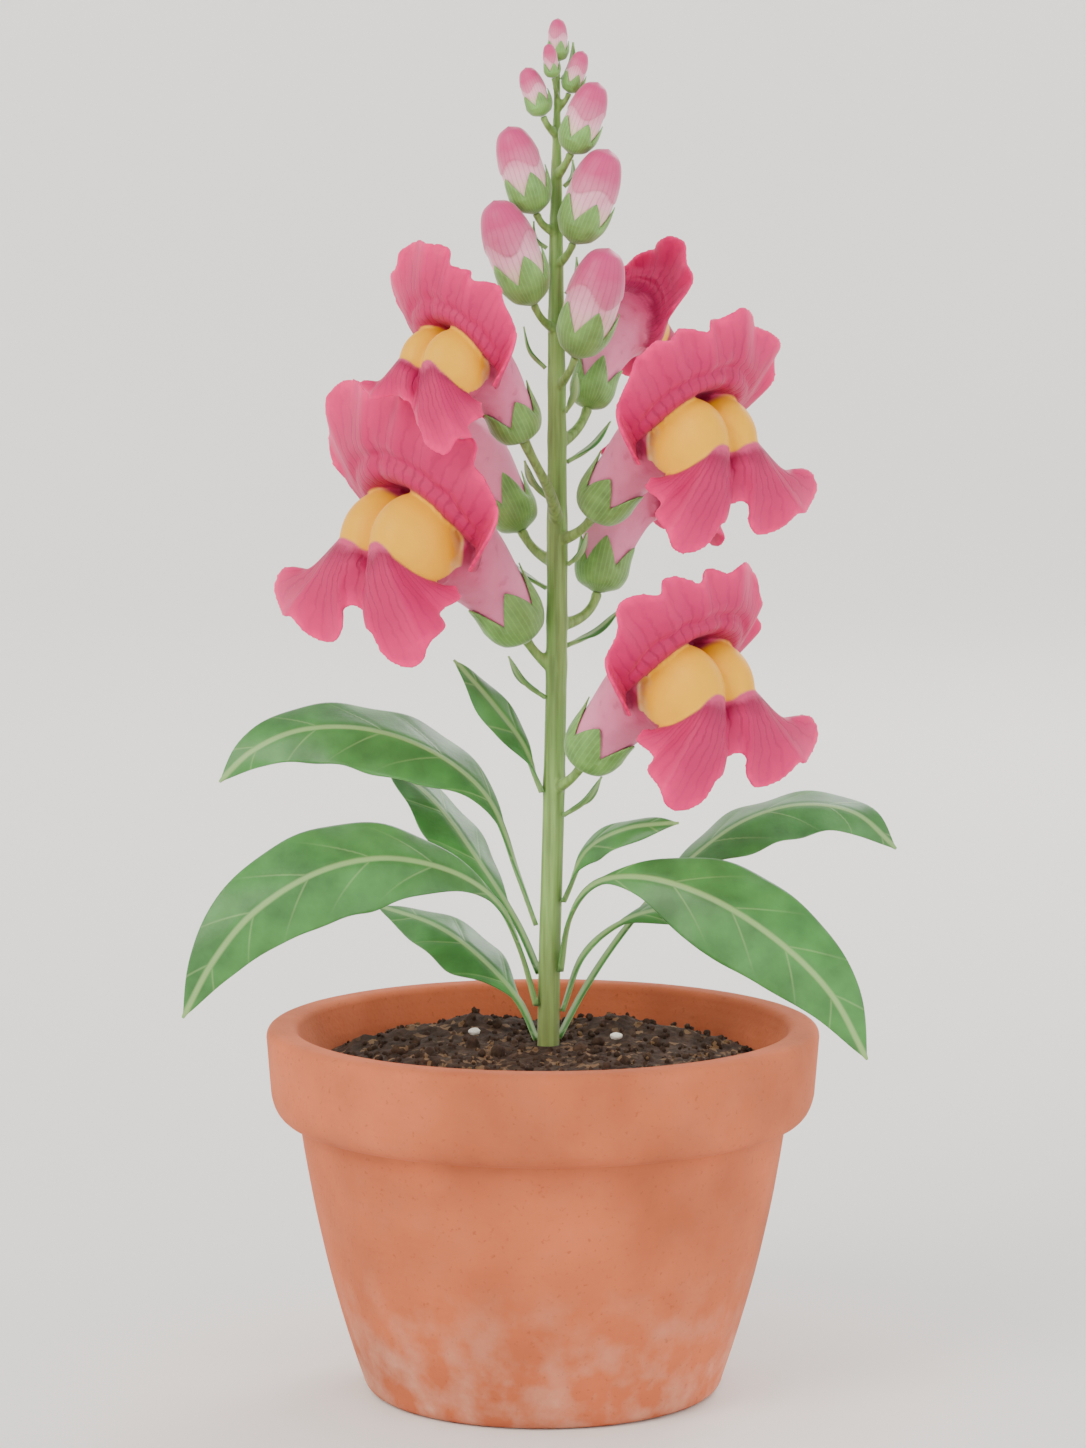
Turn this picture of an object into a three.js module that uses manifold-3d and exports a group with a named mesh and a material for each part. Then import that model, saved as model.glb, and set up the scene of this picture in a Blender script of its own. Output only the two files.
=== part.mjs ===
// A snapdragon in a clay pot: pot, soil, and one flowering plant with its leaves, flowers and buds.
// Millimetres, +Z up. The origin is the centre of the pot's base, and -Y is the plant's front.
import * as THREE from "three";
import { mergeVertices } from "three/addons/utils/BufferGeometryUtils.js";
import Module from "manifold-3d";

const wasm = await Module();
wasm.setup();

// ---------------------------------------------------------------- driving dimensions

const GAP = 0.3; // clearance between neighbouring pieces

const POT = {
  rimRadius: 55.2,
  rimTop: 74,
  rimBottom: 55,
  baseRadius: 33,
  holeRadius: 6,
  floor: 5,
  innerBase: 33.4, // inner radius where the floor's fillet ends
  innerRim: 48.8, // inner radius at the rim
  segments: 40,
};

const SOIL = {
  edge: 65.2, // height where it meets the wall
  crown: 69.8, // height round the stem
  socketRadius: 2.7,
  socketFloor: 57.7,
};

// Low heaps of soil: centre x, y, rise and spread.
const MOUNDS = [
  [-15, 22, 3.4, 6.2],
  [15, 20, 3.4, 6.6],
  [-28, 20, 2.2, 4.6],
  [28, 18, 2.0, 5.0],
  [-37, 18, 1.6, 3.6],
  [36.5, 15, 1.4, 4.2],
  [-5.5, 29, 1.6, 4.0],
  [7, 29, 1.2, 4.0],
  [-24, -18, 2.2, 6.5],
  [12, -27, 2.4, 7.0],
  [33, -14, 1.8, 6.0],
];

const STEM_LINE = [
  [0.9, 0, 58],
  [1.2, 0, 85],
  [2.0, 0, 115],
  [2.7, 0, 150],
  [2.8, 0, 190],
  [2.6, 0, 225],
  [2.8, 0, 264.2],
];
// Height above the base against radius.
const STEM_RADII = [
  [58, 2.3],
  [150, 2.15],
  [200, 1.85],
  [225, 1.5],
  [242, 1.15],
  [253, 0.8],
  [264.2, 0.6],
];

// Each leaf leaves the stem at a height and turn, and its midrib runs on through the points.
// face is the way its upper side looks, width its widest, stalk the share of its length that is stalk.
const LEAVES = [
  {
    name: "leaf_lower_left_front",
    from: 78,
    turn: 205,
    midrib: [
      [-4.6, -3.5, 90.4],
      [-9, -6.5, 99.3],
      [-17, -9.5, 105.6],
      [-30.8, -14, 109.4],
      [-44, -18, 107.2],
      [-56.7, -21, 99.4],
      [-64.5, -22.5, 90],
      [-70.2, -24, 79.4],
    ],
    face: [0.4, -0.72, 0.6],
    width: 20,
    stalk: 0.22,
    steps: 12,
  },
  {
    name: "leaf_upper_left_front",
    from: 94,
    turn: 182,
    midrib: [
      [-5, 1, 104.5],
      [-11, 2.5, 119],
      [-21, 4, 127.6],
      [-35, 5, 132.6],
      [-48.7, 5, 132.4],
      [-58.1, 4.5, 128.3],
      [-64.6, 4, 122.2],
    ],
    face: [0.4, -0.6, 0.7],
    width: 18.5,
    stalk: 0.22,
    steps: 12,
  },
  {
    name: "leaf_lower_left_back",
    from: 70.5,
    turn: 150,
    midrib: [
      [-5, 4.5, 78],
      [-14, 12, 86.5],
      [-22, 18, 91],
      [-34, 27, 93.6],
    ],
    face: [0.3, -0.62, 0.72],
    width: 13.5,
    stalk: 0.16,
    steps: 8,
  },
  {
    name: "leaf_upper_left_back",
    from: 84,
    turn: 140,
    midrib: [
      [-5, 6, 93],
      [-13, 12, 105],
      [-22, 20, 116],
      [-33, 29, 124],
    ],
    face: [0.5, -0.62, 0.6],
    width: 13,
    stalk: 0.24,
    steps: 8,
  },
  {
    name: "leaf_small_left",
    from: 121,
    turn: 205,
    midrib: [
      [-4.2, -3.2, 131],
      [-9.6, -5.6, 138.6],
      [-17.5, -9, 148],
    ],
    face: [0.6, -0.7, 0.4],
    width: 8,
    stalk: 0.12,
    steps: 7,
  },
  {
    name: "leaf_small_right",
    from: 99,
    turn: -20,
    midrib: [
      [8.8, -4, 109.6],
      [16.4, -7.5, 114.3],
      [26.7, -11, 116],
    ],
    face: [-0.3, -0.52, 0.8],
    width: 8.5,
    stalk: 0.14,
    steps: 7,
  },
  {
    name: "leaf_upper_right_back",
    from: 71,
    turn: 35,
    midrib: [
      [8.5, 7.5, 80],
      [17, 14, 91.4],
      [28, 19, 102.6],
      [41, 22.5, 111.8],
      [53, 25, 114.8],
      [64, 26, 112.8],
      [72.3, 26, 105.6],
    ],
    face: [-0.4, -0.42, 0.82],
    width: 18,
    stalk: 0.4,
    steps: 12,
  },
  {
    name: "leaf_upper_right_front",
    from: 85,
    turn: -30,
    midrib: [
      [5.4, -5, 97],
      [10.6, -9, 103.8],
      [19.8, -14, 105.6],
      [32.6, -19.5, 102.4],
      [46, -24.5, 94.4],
      [56, -28, 84.6],
      [62.8, -30, 72.3],
    ],
    face: [-0.35, -0.72, 0.6],
    width: 19.5,
    stalk: 0.24,
    steps: 12,
  },
  {
    name: "leaf_lower_right_back",
    from: 76.5,
    turn: 8,
    midrib: [
      [8, 2, 87.5],
      [15, 4.5, 93.4],
      [24, 7, 96],
      [35, 9.5, 94.6],
      [46, 11.5, 88],
    ],
    face: [-0.35, -0.5, 0.8],
    width: 9.5,
    stalk: 0.36,
    steps: 9,
  },
];
const LEAF_THICKNESS = 0.8;
const LEAF_FOLD = 0.3; // how far each half droops, per mm from the midrib
const LEAF_PEAK = 0.42; // share of the blade's length where it is widest
const BRACT_THICKNESS = 0.5;

// Open flowers. joint is the height where the stalk leaves the stem, foot the stalk's far end, turn the
// way the flower looks in plan, lift its pitch above the usual, hood the upper lip's height, cup the
// calyx's own scale, near the side whose lower lobe droops, lean how far the hood leans away from it and
// wide the hood's width.
const PLAIN_FLOWER = { hood: 1, cup: 1, near: -1, lean: 0, wide: 1 };
const FLOWERS = [
  { name: "left_upper", joint: 174, foot: [-3.7, -18, 191.6], turn: -136, lift: 9, size: 0.76 },
  { name: "left_lower", joint: 145, foot: [-3.3, -1.8, 151.3], turn: -140, lift: 4, size: 1.07 },
  { name: "right_upper", joint: 171, foot: [9.7, -7, 176], turn: -44, lift: -1, size: 0.94 },
  { name: "right_lower", joint: 121.5, foot: [7.6, -7, 126.8], turn: -44, lift: 0, size: 1 },
  { name: "back_right_upper", joint: 190, foot: [8.8, 6, 196.7], turn: 60, lift: 13, size: 0.67 },
  { name: "back_right_lower", joint: 154, foot: [10.8, 6, 160.1], turn: 48, lift: 24, size: 0.72 },
  { name: "back_left", joint: 166.4, foot: [-4.2, 6, 172.3], turn: 144, lift: 10, size: 0.76 },
].map((flower) => ({ ...PLAIN_FLOWER, ...flower }));
Object.assign(FLOWERS[0], { hood: 1.23, cup: 1.06, near: 1, lean: 4.7 });
Object.assign(FLOWERS[1], { hood: 1.22, cup: 0.97, near: 1, lean: 4.5 });
Object.assign(FLOWERS[2], { hood: 1.06, cup: 0.98, lean: 3 });
Object.assign(FLOWERS[3], { hood: 0.95 });
Object.assign(FLOWERS[5], { hood: 0.5, cup: 1.16, wide: 0.6 });
Object.assign(FLOWERS[6], { near: 1 });

const CALYX_PITCH = 50; // degrees above level that a calyx points when its flower has no lift
const CALYX = { notch: 0.2, tip: 0.46, wall: 0.8 }; // shares of the tube's length, and millimetres
const BUD_CALYX = { notch: 0.2, tip: 0.5 };

// Closed buds, from the lowest to the tip: where the stalk leaves, foot, top and greatest radius.
const BUDS = [
  { name: "right_1", joint: 201, foot: [6.3, -5.4, 207.2], top: [12.9, -9.4, 228.5], radius: 6.5 },
  { name: "left_1", joint: 212.5, foot: [-1.8, -5.5, 217.5], top: [-9.6, -9.2, 237.7], radius: 6.2 },
  { name: "right_2", joint: 225, foot: [5.9, -4, 229.4], top: [12.8, -7, 247.6], radius: 5.9 },
  { name: "left_2", joint: 231.5, foot: [-1.3, -3.6, 235.2], top: [-6.8, -6, 252], radius: 5.3 },
  { name: "right_3", joint: 242.5, foot: [5.4, -3.6, 246.8], top: [10.7, -6.4, 260.5], radius: 4.7 },
  { name: "left_3", joint: 250.5, foot: [0, -2.7, 254], top: [-3.4, -3.2, 263.4], radius: 3.3 },
  { name: "right_4", joint: 255.5, foot: [5.1, -1.5, 258.5], top: [7.8, -2.5, 266.6], radius: 2.75 },
  { name: "left_4", joint: 257.5, foot: [2, -3.6, 261.4], top: [1.0, -5.4, 267.9], radius: 2.1 },
  { name: "tip", joint: null, foot: [2.8, 0, 264.6], top: [2.9, 0, 273], radius: 2.7 },
];

// Bracts: the small leaves at the stalks' feet, from a height and turn on the stem to a tip.
const BRACTS = [
  { from: 116.5, turn: -35, tip: [11.6, -6.5, 124.6], width: 3.6 },
  { from: 140, turn: 212, tip: [-6.8, -5.6, 148.4], width: 3.6 },
  { from: 150, turn: 35, tip: [15.4, 7, 156.6], width: 3.2 },
  { from: 161.5, turn: 152, tip: [-9.6, 6.6, 170], width: 2.8 },
  { from: 166.4, turn: -30, tip: [8.6, -3.4, 172.6], width: 2.6 },
  { from: 179.5, turn: 222, tip: [-3.6, -6.6, 187], width: 2.8 },
  { from: 186.5, turn: 32, tip: [13.4, 6.6, 194], width: 2.8 },
  { from: 196.5, turn: -45, tip: [6.6, -4.2, 204], width: 2.4 },
  { from: 205, turn: 185, tip: [-3.8, -0.6, 213], width: 3 },
  { from: 219.5, turn: 20, tip: [6.6, 1.6, 226.6], width: 2.4 },
  { from: 228.5, turn: 175, tip: [-1.8, 0.4, 233.6], width: 2 },
  { from: 240.5, turn: 25, tip: [5.8, 1.2, 245.6], width: 1.8 },
  { from: 261.2, turn: 35, tip: [5.9, 1.9, 268.4], width: 2.2 },
];

// ---------------------------------------------------------------- materials

function matt(color, roughness) {
  return new THREE.MeshStandardMaterial({ color, roughness, metalness: 0 });
}
const CLAY = matt("#c4693f", 0.85);
const EARTH = matt("#3d2b20", 1);
const PERLITE = matt("#eeeae0", 0.9);
const STEM_GREEN = matt("#6f9a4a", 0.6);
const LEAF_GREEN = matt("#3f7a3a", 0.55);
const SEPAL_GREEN = matt("#5c8f45", 0.6);
const PETAL = matt("#d9568c", 0.5);
const BUD_PETAL = matt("#e48bab", 0.5);

// ---------------------------------------------------------------- shaping helpers

const degrees = THREE.MathUtils.degToRad;
const point3 = (xyz) => new THREE.Vector3(...xyz);

// A geometry with every point moved by place, its shared points merged.
function reshaped(geometry, place) {
  const spots = geometry.attributes.position;
  const spot = new THREE.Vector3();
  for (let i = 0; i < spots.count; i += 1) {
    spot.fromBufferAttribute(spots, i);
    place(spot);
    spots.setXYZ(i, spot.x, spot.y, spot.z);
  }
  geometry.deleteAttribute("normal");
  geometry.deleteAttribute("uv");
  const merged = mergeVertices(geometry, 1e-4);
  merged.computeVertexNormals();
  return merged;
}

// Three.js turns shapes about +Y: this stands them up along +Z.
function standUp(spot) {
  return spot.set(spot.x, -spot.z, spot.y);
}

function solidOf(geometry) {
  const bare = new THREE.BufferGeometry();
  bare.setAttribute("position", geometry.attributes.position);
  bare.setIndex(geometry.index);
  const merged = mergeVertices(bare, 1e-4);
  const vertProperties = merged.attributes.position.array;
  const triVerts = new Uint32Array(merged.index.array);
  return new wasm.Manifold(new wasm.Mesh({ numProp: 3, vertProperties, triVerts }));
}

function geometryOf(solid) {
  const { vertProperties, triVerts } = solid.getMesh();
  const geometry = new THREE.BufferGeometry();
  geometry.setAttribute("position", new THREE.BufferAttribute(vertProperties, 3));
  geometry.setIndex(new THREE.BufferAttribute(triVerts, 1));
  geometry.computeVertexNormals();
  return geometry;
}

// The union of overlapping shapes, without any pocket closed in between them.
function joined(geometries) {
  const [first, ...rest] = geometries.map(solidOf);
  const whole = rest.reduce((sum, next) => sum.add(next), first);
  return whole.decompose().sort((a, b) => b.volume() - a.volume())[0];
}

// A smooth value at a place in a list of [place, value] stations.
function between(stations, place) {
  const last = stations.length - 1;
  let i = 0;
  while (i < last - 1 && place > stations[i + 1][0]) i += 1;
  const slope = (k) => {
    const [low, high] = [Math.max(k - 1, 0), Math.min(k + 1, last)];
    return (stations[high][1] - stations[low][1]) / (stations[high][0] - stations[low][0]);
  };
  const span = stations[i + 1][0] - stations[i][0];
  const t = THREE.MathUtils.clamp((place - stations[i][0]) / span, 0, 1);
  const ease = t * t * (3 - 2 * t);
  const start = span * slope(i) * t * (1 - t) * (1 - t);
  const end = span * slope(i + 1) * t * t * (1 - t);
  return stations[i][1] + (stations[i + 1][1] - stations[i][1]) * ease + start - end;
}

// Carries a shape drawn round +Y, with y from 0 to 1, along a curve. hint is kept square to the curve.
function along(geometry, curve, hint, place = (spot) => spot) {
  return reshaped(geometry, (spot) => {
    place(spot);
    const share = THREE.MathUtils.clamp(spot.y, 0, 1);
    const ahead = curve.getTangentAt(share);
    const side = hint.clone().addScaledVector(ahead, -hint.dot(ahead)).normalize();
    const over = side.clone().cross(ahead);
    const { x, z } = spot;
    spot.copy(curve.getPointAt(share)).addScaledVector(side, x).addScaledVector(over, z);
  });
}

// A round rod along a curve, with its radius given by a function of the share of its length.
function rod(curve, radiusAt, sides, steps) {
  const blank = new THREE.CylinderGeometry(1, 1, 1, sides, steps);
  return along(blank, curve, new THREE.Vector3(0, 1, 0), (spot) => {
    spot.y += 0.5;
    const radius = radiusAt(spot.y);
    spot.x *= radius;
    spot.z *= radius;
  });
}

// A thin sheet of even thickness on a surface given by a function of two shares.
function sheet(surface, across, steps, thickness) {
  const nudge = 0.002;
  return reshaped(new THREE.BoxGeometry(1, 1, 1, across, 1, steps), (spot) => {
    const u = spot.x + 0.5;
    const v = spot.z + 0.5;
    const depth = spot.y;
    const acrossWay = surface(u + nudge, v).sub(surface(u - nudge, v));
    const alongWay = surface(u, v + nudge).sub(surface(u, v - nudge));
    const normal = alongWay.cross(acrossWay).normalize();
    spot.copy(surface(u, v)).addScaledVector(normal, depth * thickness);
  });
}

const plant = new THREE.Group();

function addMesh(name, geometry, material, parent = plant) {
  const mesh = new THREE.Mesh(geometry, material);
  mesh.name = name;
  parent.add(mesh);
}

// ---------------------------------------------------------------- pot

const innerSlope = (POT.innerRim - POT.innerBase) / (POT.rimTop - POT.floor);
const innerRadius = (height) => POT.innerBase + innerSlope * (height - POT.floor);

function potShape() {
  const wall = new THREE.Path();
  wall.moveTo(POT.holeRadius, 0);
  wall.lineTo(POT.baseRadius, 0);
  wall.quadraticCurveTo(POT.baseRadius + 2.7, 0.2, POT.baseRadius + 3.3, 3.2);
  wall.quadraticCurveTo(44.8, 27.5, 48.6, POT.rimBottom - 0.6);
  wall.lineTo(49.2, POT.rimBottom);
  wall.quadraticCurveTo(53.4, POT.rimBottom + 0.2, POT.rimRadius - 0.9, POT.rimBottom + 5.5);
  wall.lineTo(POT.rimRadius, POT.rimTop - 2);
  wall.quadraticCurveTo(POT.rimRadius, POT.rimTop, POT.rimRadius - 2, POT.rimTop);
  wall.lineTo(POT.innerRim + 1.8, POT.rimTop);
  wall.quadraticCurveTo(POT.innerRim + 0.3, POT.rimTop - 0.2, POT.innerRim, POT.rimTop - 2);
  wall.lineTo(innerRadius(POT.floor + 2), POT.floor + 2);
  wall.lineTo(POT.innerBase - 2.4, POT.floor);
  wall.lineTo(POT.holeRadius, POT.floor);
  wall.closePath();
  return new THREE.LatheGeometry(wall.getPoints(3), POT.segments);
}
addMesh("pot", reshaped(potShape(), standUp), CLAY);

// ---------------------------------------------------------------- soil and its grains

function soilHeight(x, y) {
  const share = Math.min(Math.hypot(x, y) / innerRadius(SOIL.edge), 1);
  const crown = SOIL.edge + (SOIL.crown - SOIL.edge) * (1 - share ** 2.6);
  const heaps = MOUNDS.map(([mx, my, rise, spread]) => {
    const away = Math.hypot(x - mx, y - my) / spread;
    return rise * Math.exp(-(away ** 2) / 1.4);
  });
  return crown + heaps.reduce((sum, rise) => sum + rise, 0);
}

function soilShape() {
  const edge = innerRadius(SOIL.edge) - GAP - 0.1;
  const floor = POT.floor + GAP;
  const lowWall = innerRadius(floor + 2) - GAP - 0.1;
  const outline = [[0, floor], [POT.innerBase - 2.6, floor], [lowWall, floor + 2]];
  const rings = [1, 0.92, 0.81, 0.69, 0.57, 0.45, 0.33, 0.21, 0.1, 0];
  rings.forEach((share) => outline.push([edge * share, SOIL.edge]));
  const profile = outline.map(([radius, height]) => new THREE.Vector2(radius, height));
  return reshaped(new THREE.LatheGeometry(profile, POT.segments), (spot) => {
    standUp(spot);
    const onTop = spot.z > SOIL.edge - 1;
    const onWall = Math.hypot(spot.x, spot.y) > edge - 0.01;
    if (onTop && !onWall) spot.z = soilHeight(spot.x, spot.y);
  });
}

function socketShape() {
  const height = SOIL.crown + 10 - SOIL.socketFloor;
  const blank = new THREE.CylinderGeometry(SOIL.socketRadius, SOIL.socketRadius, height, 12);
  return reshaped(blank, (spot) => {
    standUp(spot);
    spot.z += SOIL.socketFloor + height / 2;
    spot.x += STEM_LINE[0][0];
  });
}
addMesh("potting_soil", geometryOf(solidOf(soilShape()).subtract(solidOf(socketShape()))), EARTH);

function grainShape(x, y, turn) {
  const rest = soilHeight(x, y) + GAP + 0.75;
  const grain = reshaped(new THREE.SphereGeometry(1, 7, 5), (spot) => {
    spot.set(spot.x * 1.3, spot.z * 0.9, spot.y * -0.7 + 0.08 * Math.sin(5 * spot.x));
  });
  return grain.rotateZ(turn).translate(x, y, rest);
}
addMesh("perlite_left", grainShape(-13.9, 9.5, 0.3), PERLITE);
addMesh("perlite_right", grainShape(14.7, 4.5, -0.2), PERLITE);

// ---------------------------------------------------------------- stem and stalks

const stemCurve = new THREE.CatmullRomCurve3(STEM_LINE.map(point3));
const stemBottom = STEM_LINE[0][2];
const stemLength = STEM_LINE.at(-1)[2] - stemBottom;
const stemShare = (height) => THREE.MathUtils.clamp((height - stemBottom) / stemLength, 0, 1);
const stemCentre = (height) => stemCurve.getPointAt(stemShare(height));

// The plan direction of a turn in degrees, 0 towards +X.
function heading(turn) {
  return new THREE.Vector3(Math.cos(degrees(turn)), Math.sin(degrees(turn)), 0);
}

// A point clear of the stem's side at a height and turn, past the half thickness given.
function besideStem(height, turn, half) {
  const reach = between(STEM_RADII, height) + GAP + half;
  return stemCentre(height).addScaledVector(heading(turn), reach);
}

function flowerAxis(flower) {
  const pitch = degrees(CALYX_PITCH + flower.lift);
  return heading(flower.turn).multiplyScalar(Math.cos(pitch)).setZ(Math.sin(pitch));
}

function stalkShape(joint, foot, axis, radius) {
  const end = foot.clone().addScaledVector(axis, -GAP);
  const start = stemCentre(joint);
  const reach = end.distanceTo(start);
  const bend = end.clone().addScaledVector(axis, -0.5 * reach);
  const leave = start.clone().lerp(bend, 2 / 3);
  leave.z += 0.3 * Math.max(0, reach - 12); // a long stalk climbs before it spreads
  const curve = new THREE.CubicBezierCurve3(start, leave, end.clone().lerp(bend, 2 / 3), end);
  return rod(curve, (share) => radius * (1.15 - 0.25 * share), 6, 4);
}

function budAxis(bud) {
  return point3(bud.top).sub(point3(bud.foot)).normalize();
}

function stemShape() {
  const trunk = rod(stemCurve, (share) => between(STEM_RADII, stemBottom + share * stemLength), 10, 14);
  const flowerStalks = FLOWERS.map((flower) => {
    return stalkShape(flower.joint, point3(flower.foot), flowerAxis(flower), 1.0);
  });
  const budStalks = BUDS.filter((bud) => bud.joint).map((bud) => {
    return stalkShape(bud.joint, point3(bud.foot), budAxis(bud), Math.min(0.8, bud.radius * 0.22));
  });
  return joined([trunk, ...flowerStalks, ...budStalks]);
}
addMesh("main_stem", geometryOf(stemShape()), STEM_GREEN);

// ---------------------------------------------------------------- leaves and bracts

// Half width of a blade against the share of its length, as a share of its greatest.
function bladeWidth(share, stalk) {
  const blade = THREE.MathUtils.clamp((share - stalk) / (1 - stalk), 0, 1);
  if (blade < LEAF_PEAK) return THREE.MathUtils.smoothstep(blade / LEAF_PEAK, -0.15, 1);
  return 1 - ((blade - LEAF_PEAK) / (1 - LEAF_PEAK)) ** 2.1;
}

function leafShape(leaf, thickness) {
  const half = leaf.width / 2;
  const stalkHalf = Math.min(1.1, half * 0.3);
  const start = besideStem(leaf.from, leaf.turn, thickness / 2 + 0.05);
  const curve = new THREE.CatmullRomCurve3([start, ...leaf.midrib.map(point3)]);
  const toStem = heading(leaf.turn + 180);
  const blank = new THREE.BoxGeometry(1, 1, 1, 2, 1, leaf.steps);
  return reshaped(blank, (spot) => {
    const share = spot.z + 0.5;
    const ahead = curve.getTangentAt(share);
    const opened = THREE.MathUtils.smoothstep(share, 0, 0.3);
    const side = toStem.clone().lerp(point3(leaf.face), opened).cross(ahead).normalize();
    const up = ahead.clone().cross(side);
    const blade = bladeWidth(share, leaf.stalk);
    const reach = 2 * spot.x * Math.max(half * blade, stalkHalf * (1 - share) + 0.35 * share);
    const droop = -LEAF_FOLD * Math.abs(reach) * Math.min(1, blade);
    const rise = spot.y * thickness + droop;
    spot.copy(curve.getPointAt(share)).addScaledVector(side, reach).addScaledVector(up, rise);
  });
}
LEAVES.forEach((leaf) => addMesh(leaf.name, leafShape(leaf, LEAF_THICKNESS), LEAF_GREEN));

function bractShape(bract) {
  const start = besideStem(bract.from, bract.turn, 0.3);
  const tip = point3(bract.tip);
  const middle = start.clone().lerp(tip, 0.5).addScaledVector(heading(bract.turn), 0.8);
  middle.z -= 0.6;
  const face = heading(bract.turn).multiplyScalar(-1).setZ(0.5).toArray();
  const leaf = { ...bract, midrib: [middle.toArray(), bract.tip], face, stalk: 0.05, steps: 4 };
  return leafShape(leaf, BRACT_THICKNESS);
}
BRACTS.forEach((bract, i) => addMesh(`bract_${i + 1}`, bractShape(bract), LEAF_GREEN));

// ---------------------------------------------------------------- flowers

// A flower is drawn with its stalk's end at the origin, looking along +X, at full size.
const UPPER_LIP_SPREAD = 115; // degrees from its middle to its end, round the mouth
const LOWER_LIP_SPREAD = 108;
const LIP_THICKNESS = 1.1;
const MOUTH_RADIUS = 10.8;
const MOUTH_SLANT = 8; // how far the mouth's upper side runs on past the lower
const TUBE_LIFT = 0.055; // share of its length that the tube starts above the calyx's floor
const TUBE_LINE = [
  [0, 0, 0],
  [7.5, 0, 9],
  [14, 0, 15.5],
  [24, 0, 18.5],
];
// Share of the tube's length against its radius.
const TUBE_RADII = [
  [0, 1.4],
  [0.05, 3.6],
  [0.12, 5],
  [0.22, 5.7],
  [0.42, 6.3],
  [0.7, 8.3],
  [1, MOUTH_RADIUS],
];
const TUBE_SIDES = 10;
const LATERAL = new THREE.Vector3(0, 1, 0);

function tubeCurve(size) {
  return new THREE.CubicBezierCurve3(...TUBE_LINE.map((xyz) => point3(xyz).multiplyScalar(size)));
}

// The tube's radius: the calyx's own scale rules it at the foot, and the flower's size at the mouth.
function tubeRadius(share, flower) {
  const blend = THREE.MathUtils.smoothstep(share, 0.35, 0.9);
  return flower.size * between(TUBE_RADII, share) * THREE.MathUtils.lerp(flower.cup, 1, blend);
}

function tubeShape(flower) {
  const blank = new THREE.CylinderGeometry(1, 1, 1, TUBE_SIDES, 5);
  const body = along(blank, tubeCurve(flower.size), LATERAL, (spot) => {
    spot.y = TUBE_LIFT + (1 - TUBE_LIFT) * (spot.y + 0.5) ** 1.15;
    const radius = tubeRadius(spot.y, flower);
    spot.x *= radius;
    spot.z *= radius;
  });
  const mouth = point3(TUBE_LINE.at(-1)).multiplyScalar(flower.size);
  return reshaped(body, (spot) => {
    const near = THREE.MathUtils.clamp(spot.x / mouth.x, 0, 1) ** 4;
    const top = THREE.MathUtils.clamp((spot.z - mouth.z) / (MOUTH_RADIUS * flower.size), 0, 1);
    spot.x += MOUTH_SLANT * flower.size * near * top;
  });
}

// Eases a petal's ends back to its root: 1 over its middle, less at its two ends.
function endEase(share, start) {
  return 1 - 0.75 * THREE.MathUtils.smoothstep(Math.abs(share), start, 1);
}

// A power that keeps the sign: squares off a rounded lip.
function squared(value, power) {
  return Math.sign(value) * Math.abs(value) ** power;
}

function upperLipSurface(flower) {
  const widest = degrees(UPPER_LIP_SPREAD);
  return (u, v) => {
    const share = 2 * u - 1;
    const angle = share * widest;
    const up = Math.cos(angle);
    const out = Math.sin(angle);
    const fuller = Math.sign(angle) * flower.near;
    const root = new THREE.Vector3(21.5 + 12 * Math.max(0, up), 10 * out, 17.5 + 9 * up);
    const edge = new THREE.Vector3(
      27.4 + 10.9 * Math.max(0, up),
      (21.2 + 0.7 * fuller) * squared(out, 0.78) * flower.wide,
      25.4 + 16.5 * squared(up, 0.77) * flower.hood,
    );
    const leaning = flower.near * flower.lean * THREE.MathUtils.smoothstep(up, -0.3, 0.7);
    edge.y -= leaning;
    edge.z -= 0.7 * leaning * out;
    const spot = root.lerp(edge, v * endEase(share, 0.72));
    spot.x += 2.4 * Math.sin(Math.PI * v);
    return spot.multiplyScalar(flower.size);
  };
}

function lowerLipSurface(flower) {
  const widest = degrees(LOWER_LIP_SPREAD);
  return (u, v) => {
    const share = 1 - 2 * u;
    const angle = share * widest;
    const down = Math.cos(angle);
    const out = Math.sin(angle);
    const fuller = Math.sign(angle) * flower.near;
    const front = Math.max(0, down);
    const root = new THREE.Vector3(30 + 8.5 * front, 10 * out, 12.5 + 3 * down);
    const notch = 1 - 0.38 * Math.exp(-((angle / 0.2) ** 2));
    const edge = new THREE.Vector3(
      35.8 + 4.5 * down - 5 * fuller * Math.abs(out),
      (19.3 - 3.2 * fuller) * squared(out, 0.8),
      7 - (9.9 + 2.3 * fuller) * squared(down, 0.9) - 0.9 * fuller * Math.abs(out),
    );
    const reach = v * notch * endEase(share, 0.77 - 0.05 * fuller);
    const spot = root.lerp(edge, reach);
    spot.x += 3.6 * Math.sin(Math.PI * v) * (0.3 + 0.7 * front);
    return spot.multiplyScalar(flower.size);
  };
}

// One of the palate's two humps, the one on the drooping side a little fuller.
function palateHump(flower, side) {
  const fuller = side * flower.near;
  const hump = reshaped(new THREE.SphereGeometry(1, 8, 5), (spot) => {
    spot.set(spot.x * 10.8, spot.z * -(7.6 + 0.6 * fuller), spot.y * 9.2);
  });
  const centre = (5.3 + 0.8 * fuller) * side;
  return hump.translate(30.2, centre, 17.4).scale(flower.size, flower.size, flower.size);
}

function corollaShape(flower) {
  return joined([
    tubeShape(flower),
    palateHump(flower, 1),
    palateHump(flower, -1),
    sheet(upperLipSurface(flower), 10, 2, LIP_THICKNESS),
    sheet(lowerLipSurface(flower), 10, 2, LIP_THICKNESS),
  ]);
}

// Five sepals round a cup: 1 at a sepal's tip, small in the notch beside it.
function sepalShare(x, z) {
  return 0.14 + 0.86 * Math.abs(Math.cos(2.5 * Math.atan2(x, z)));
}

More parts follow.
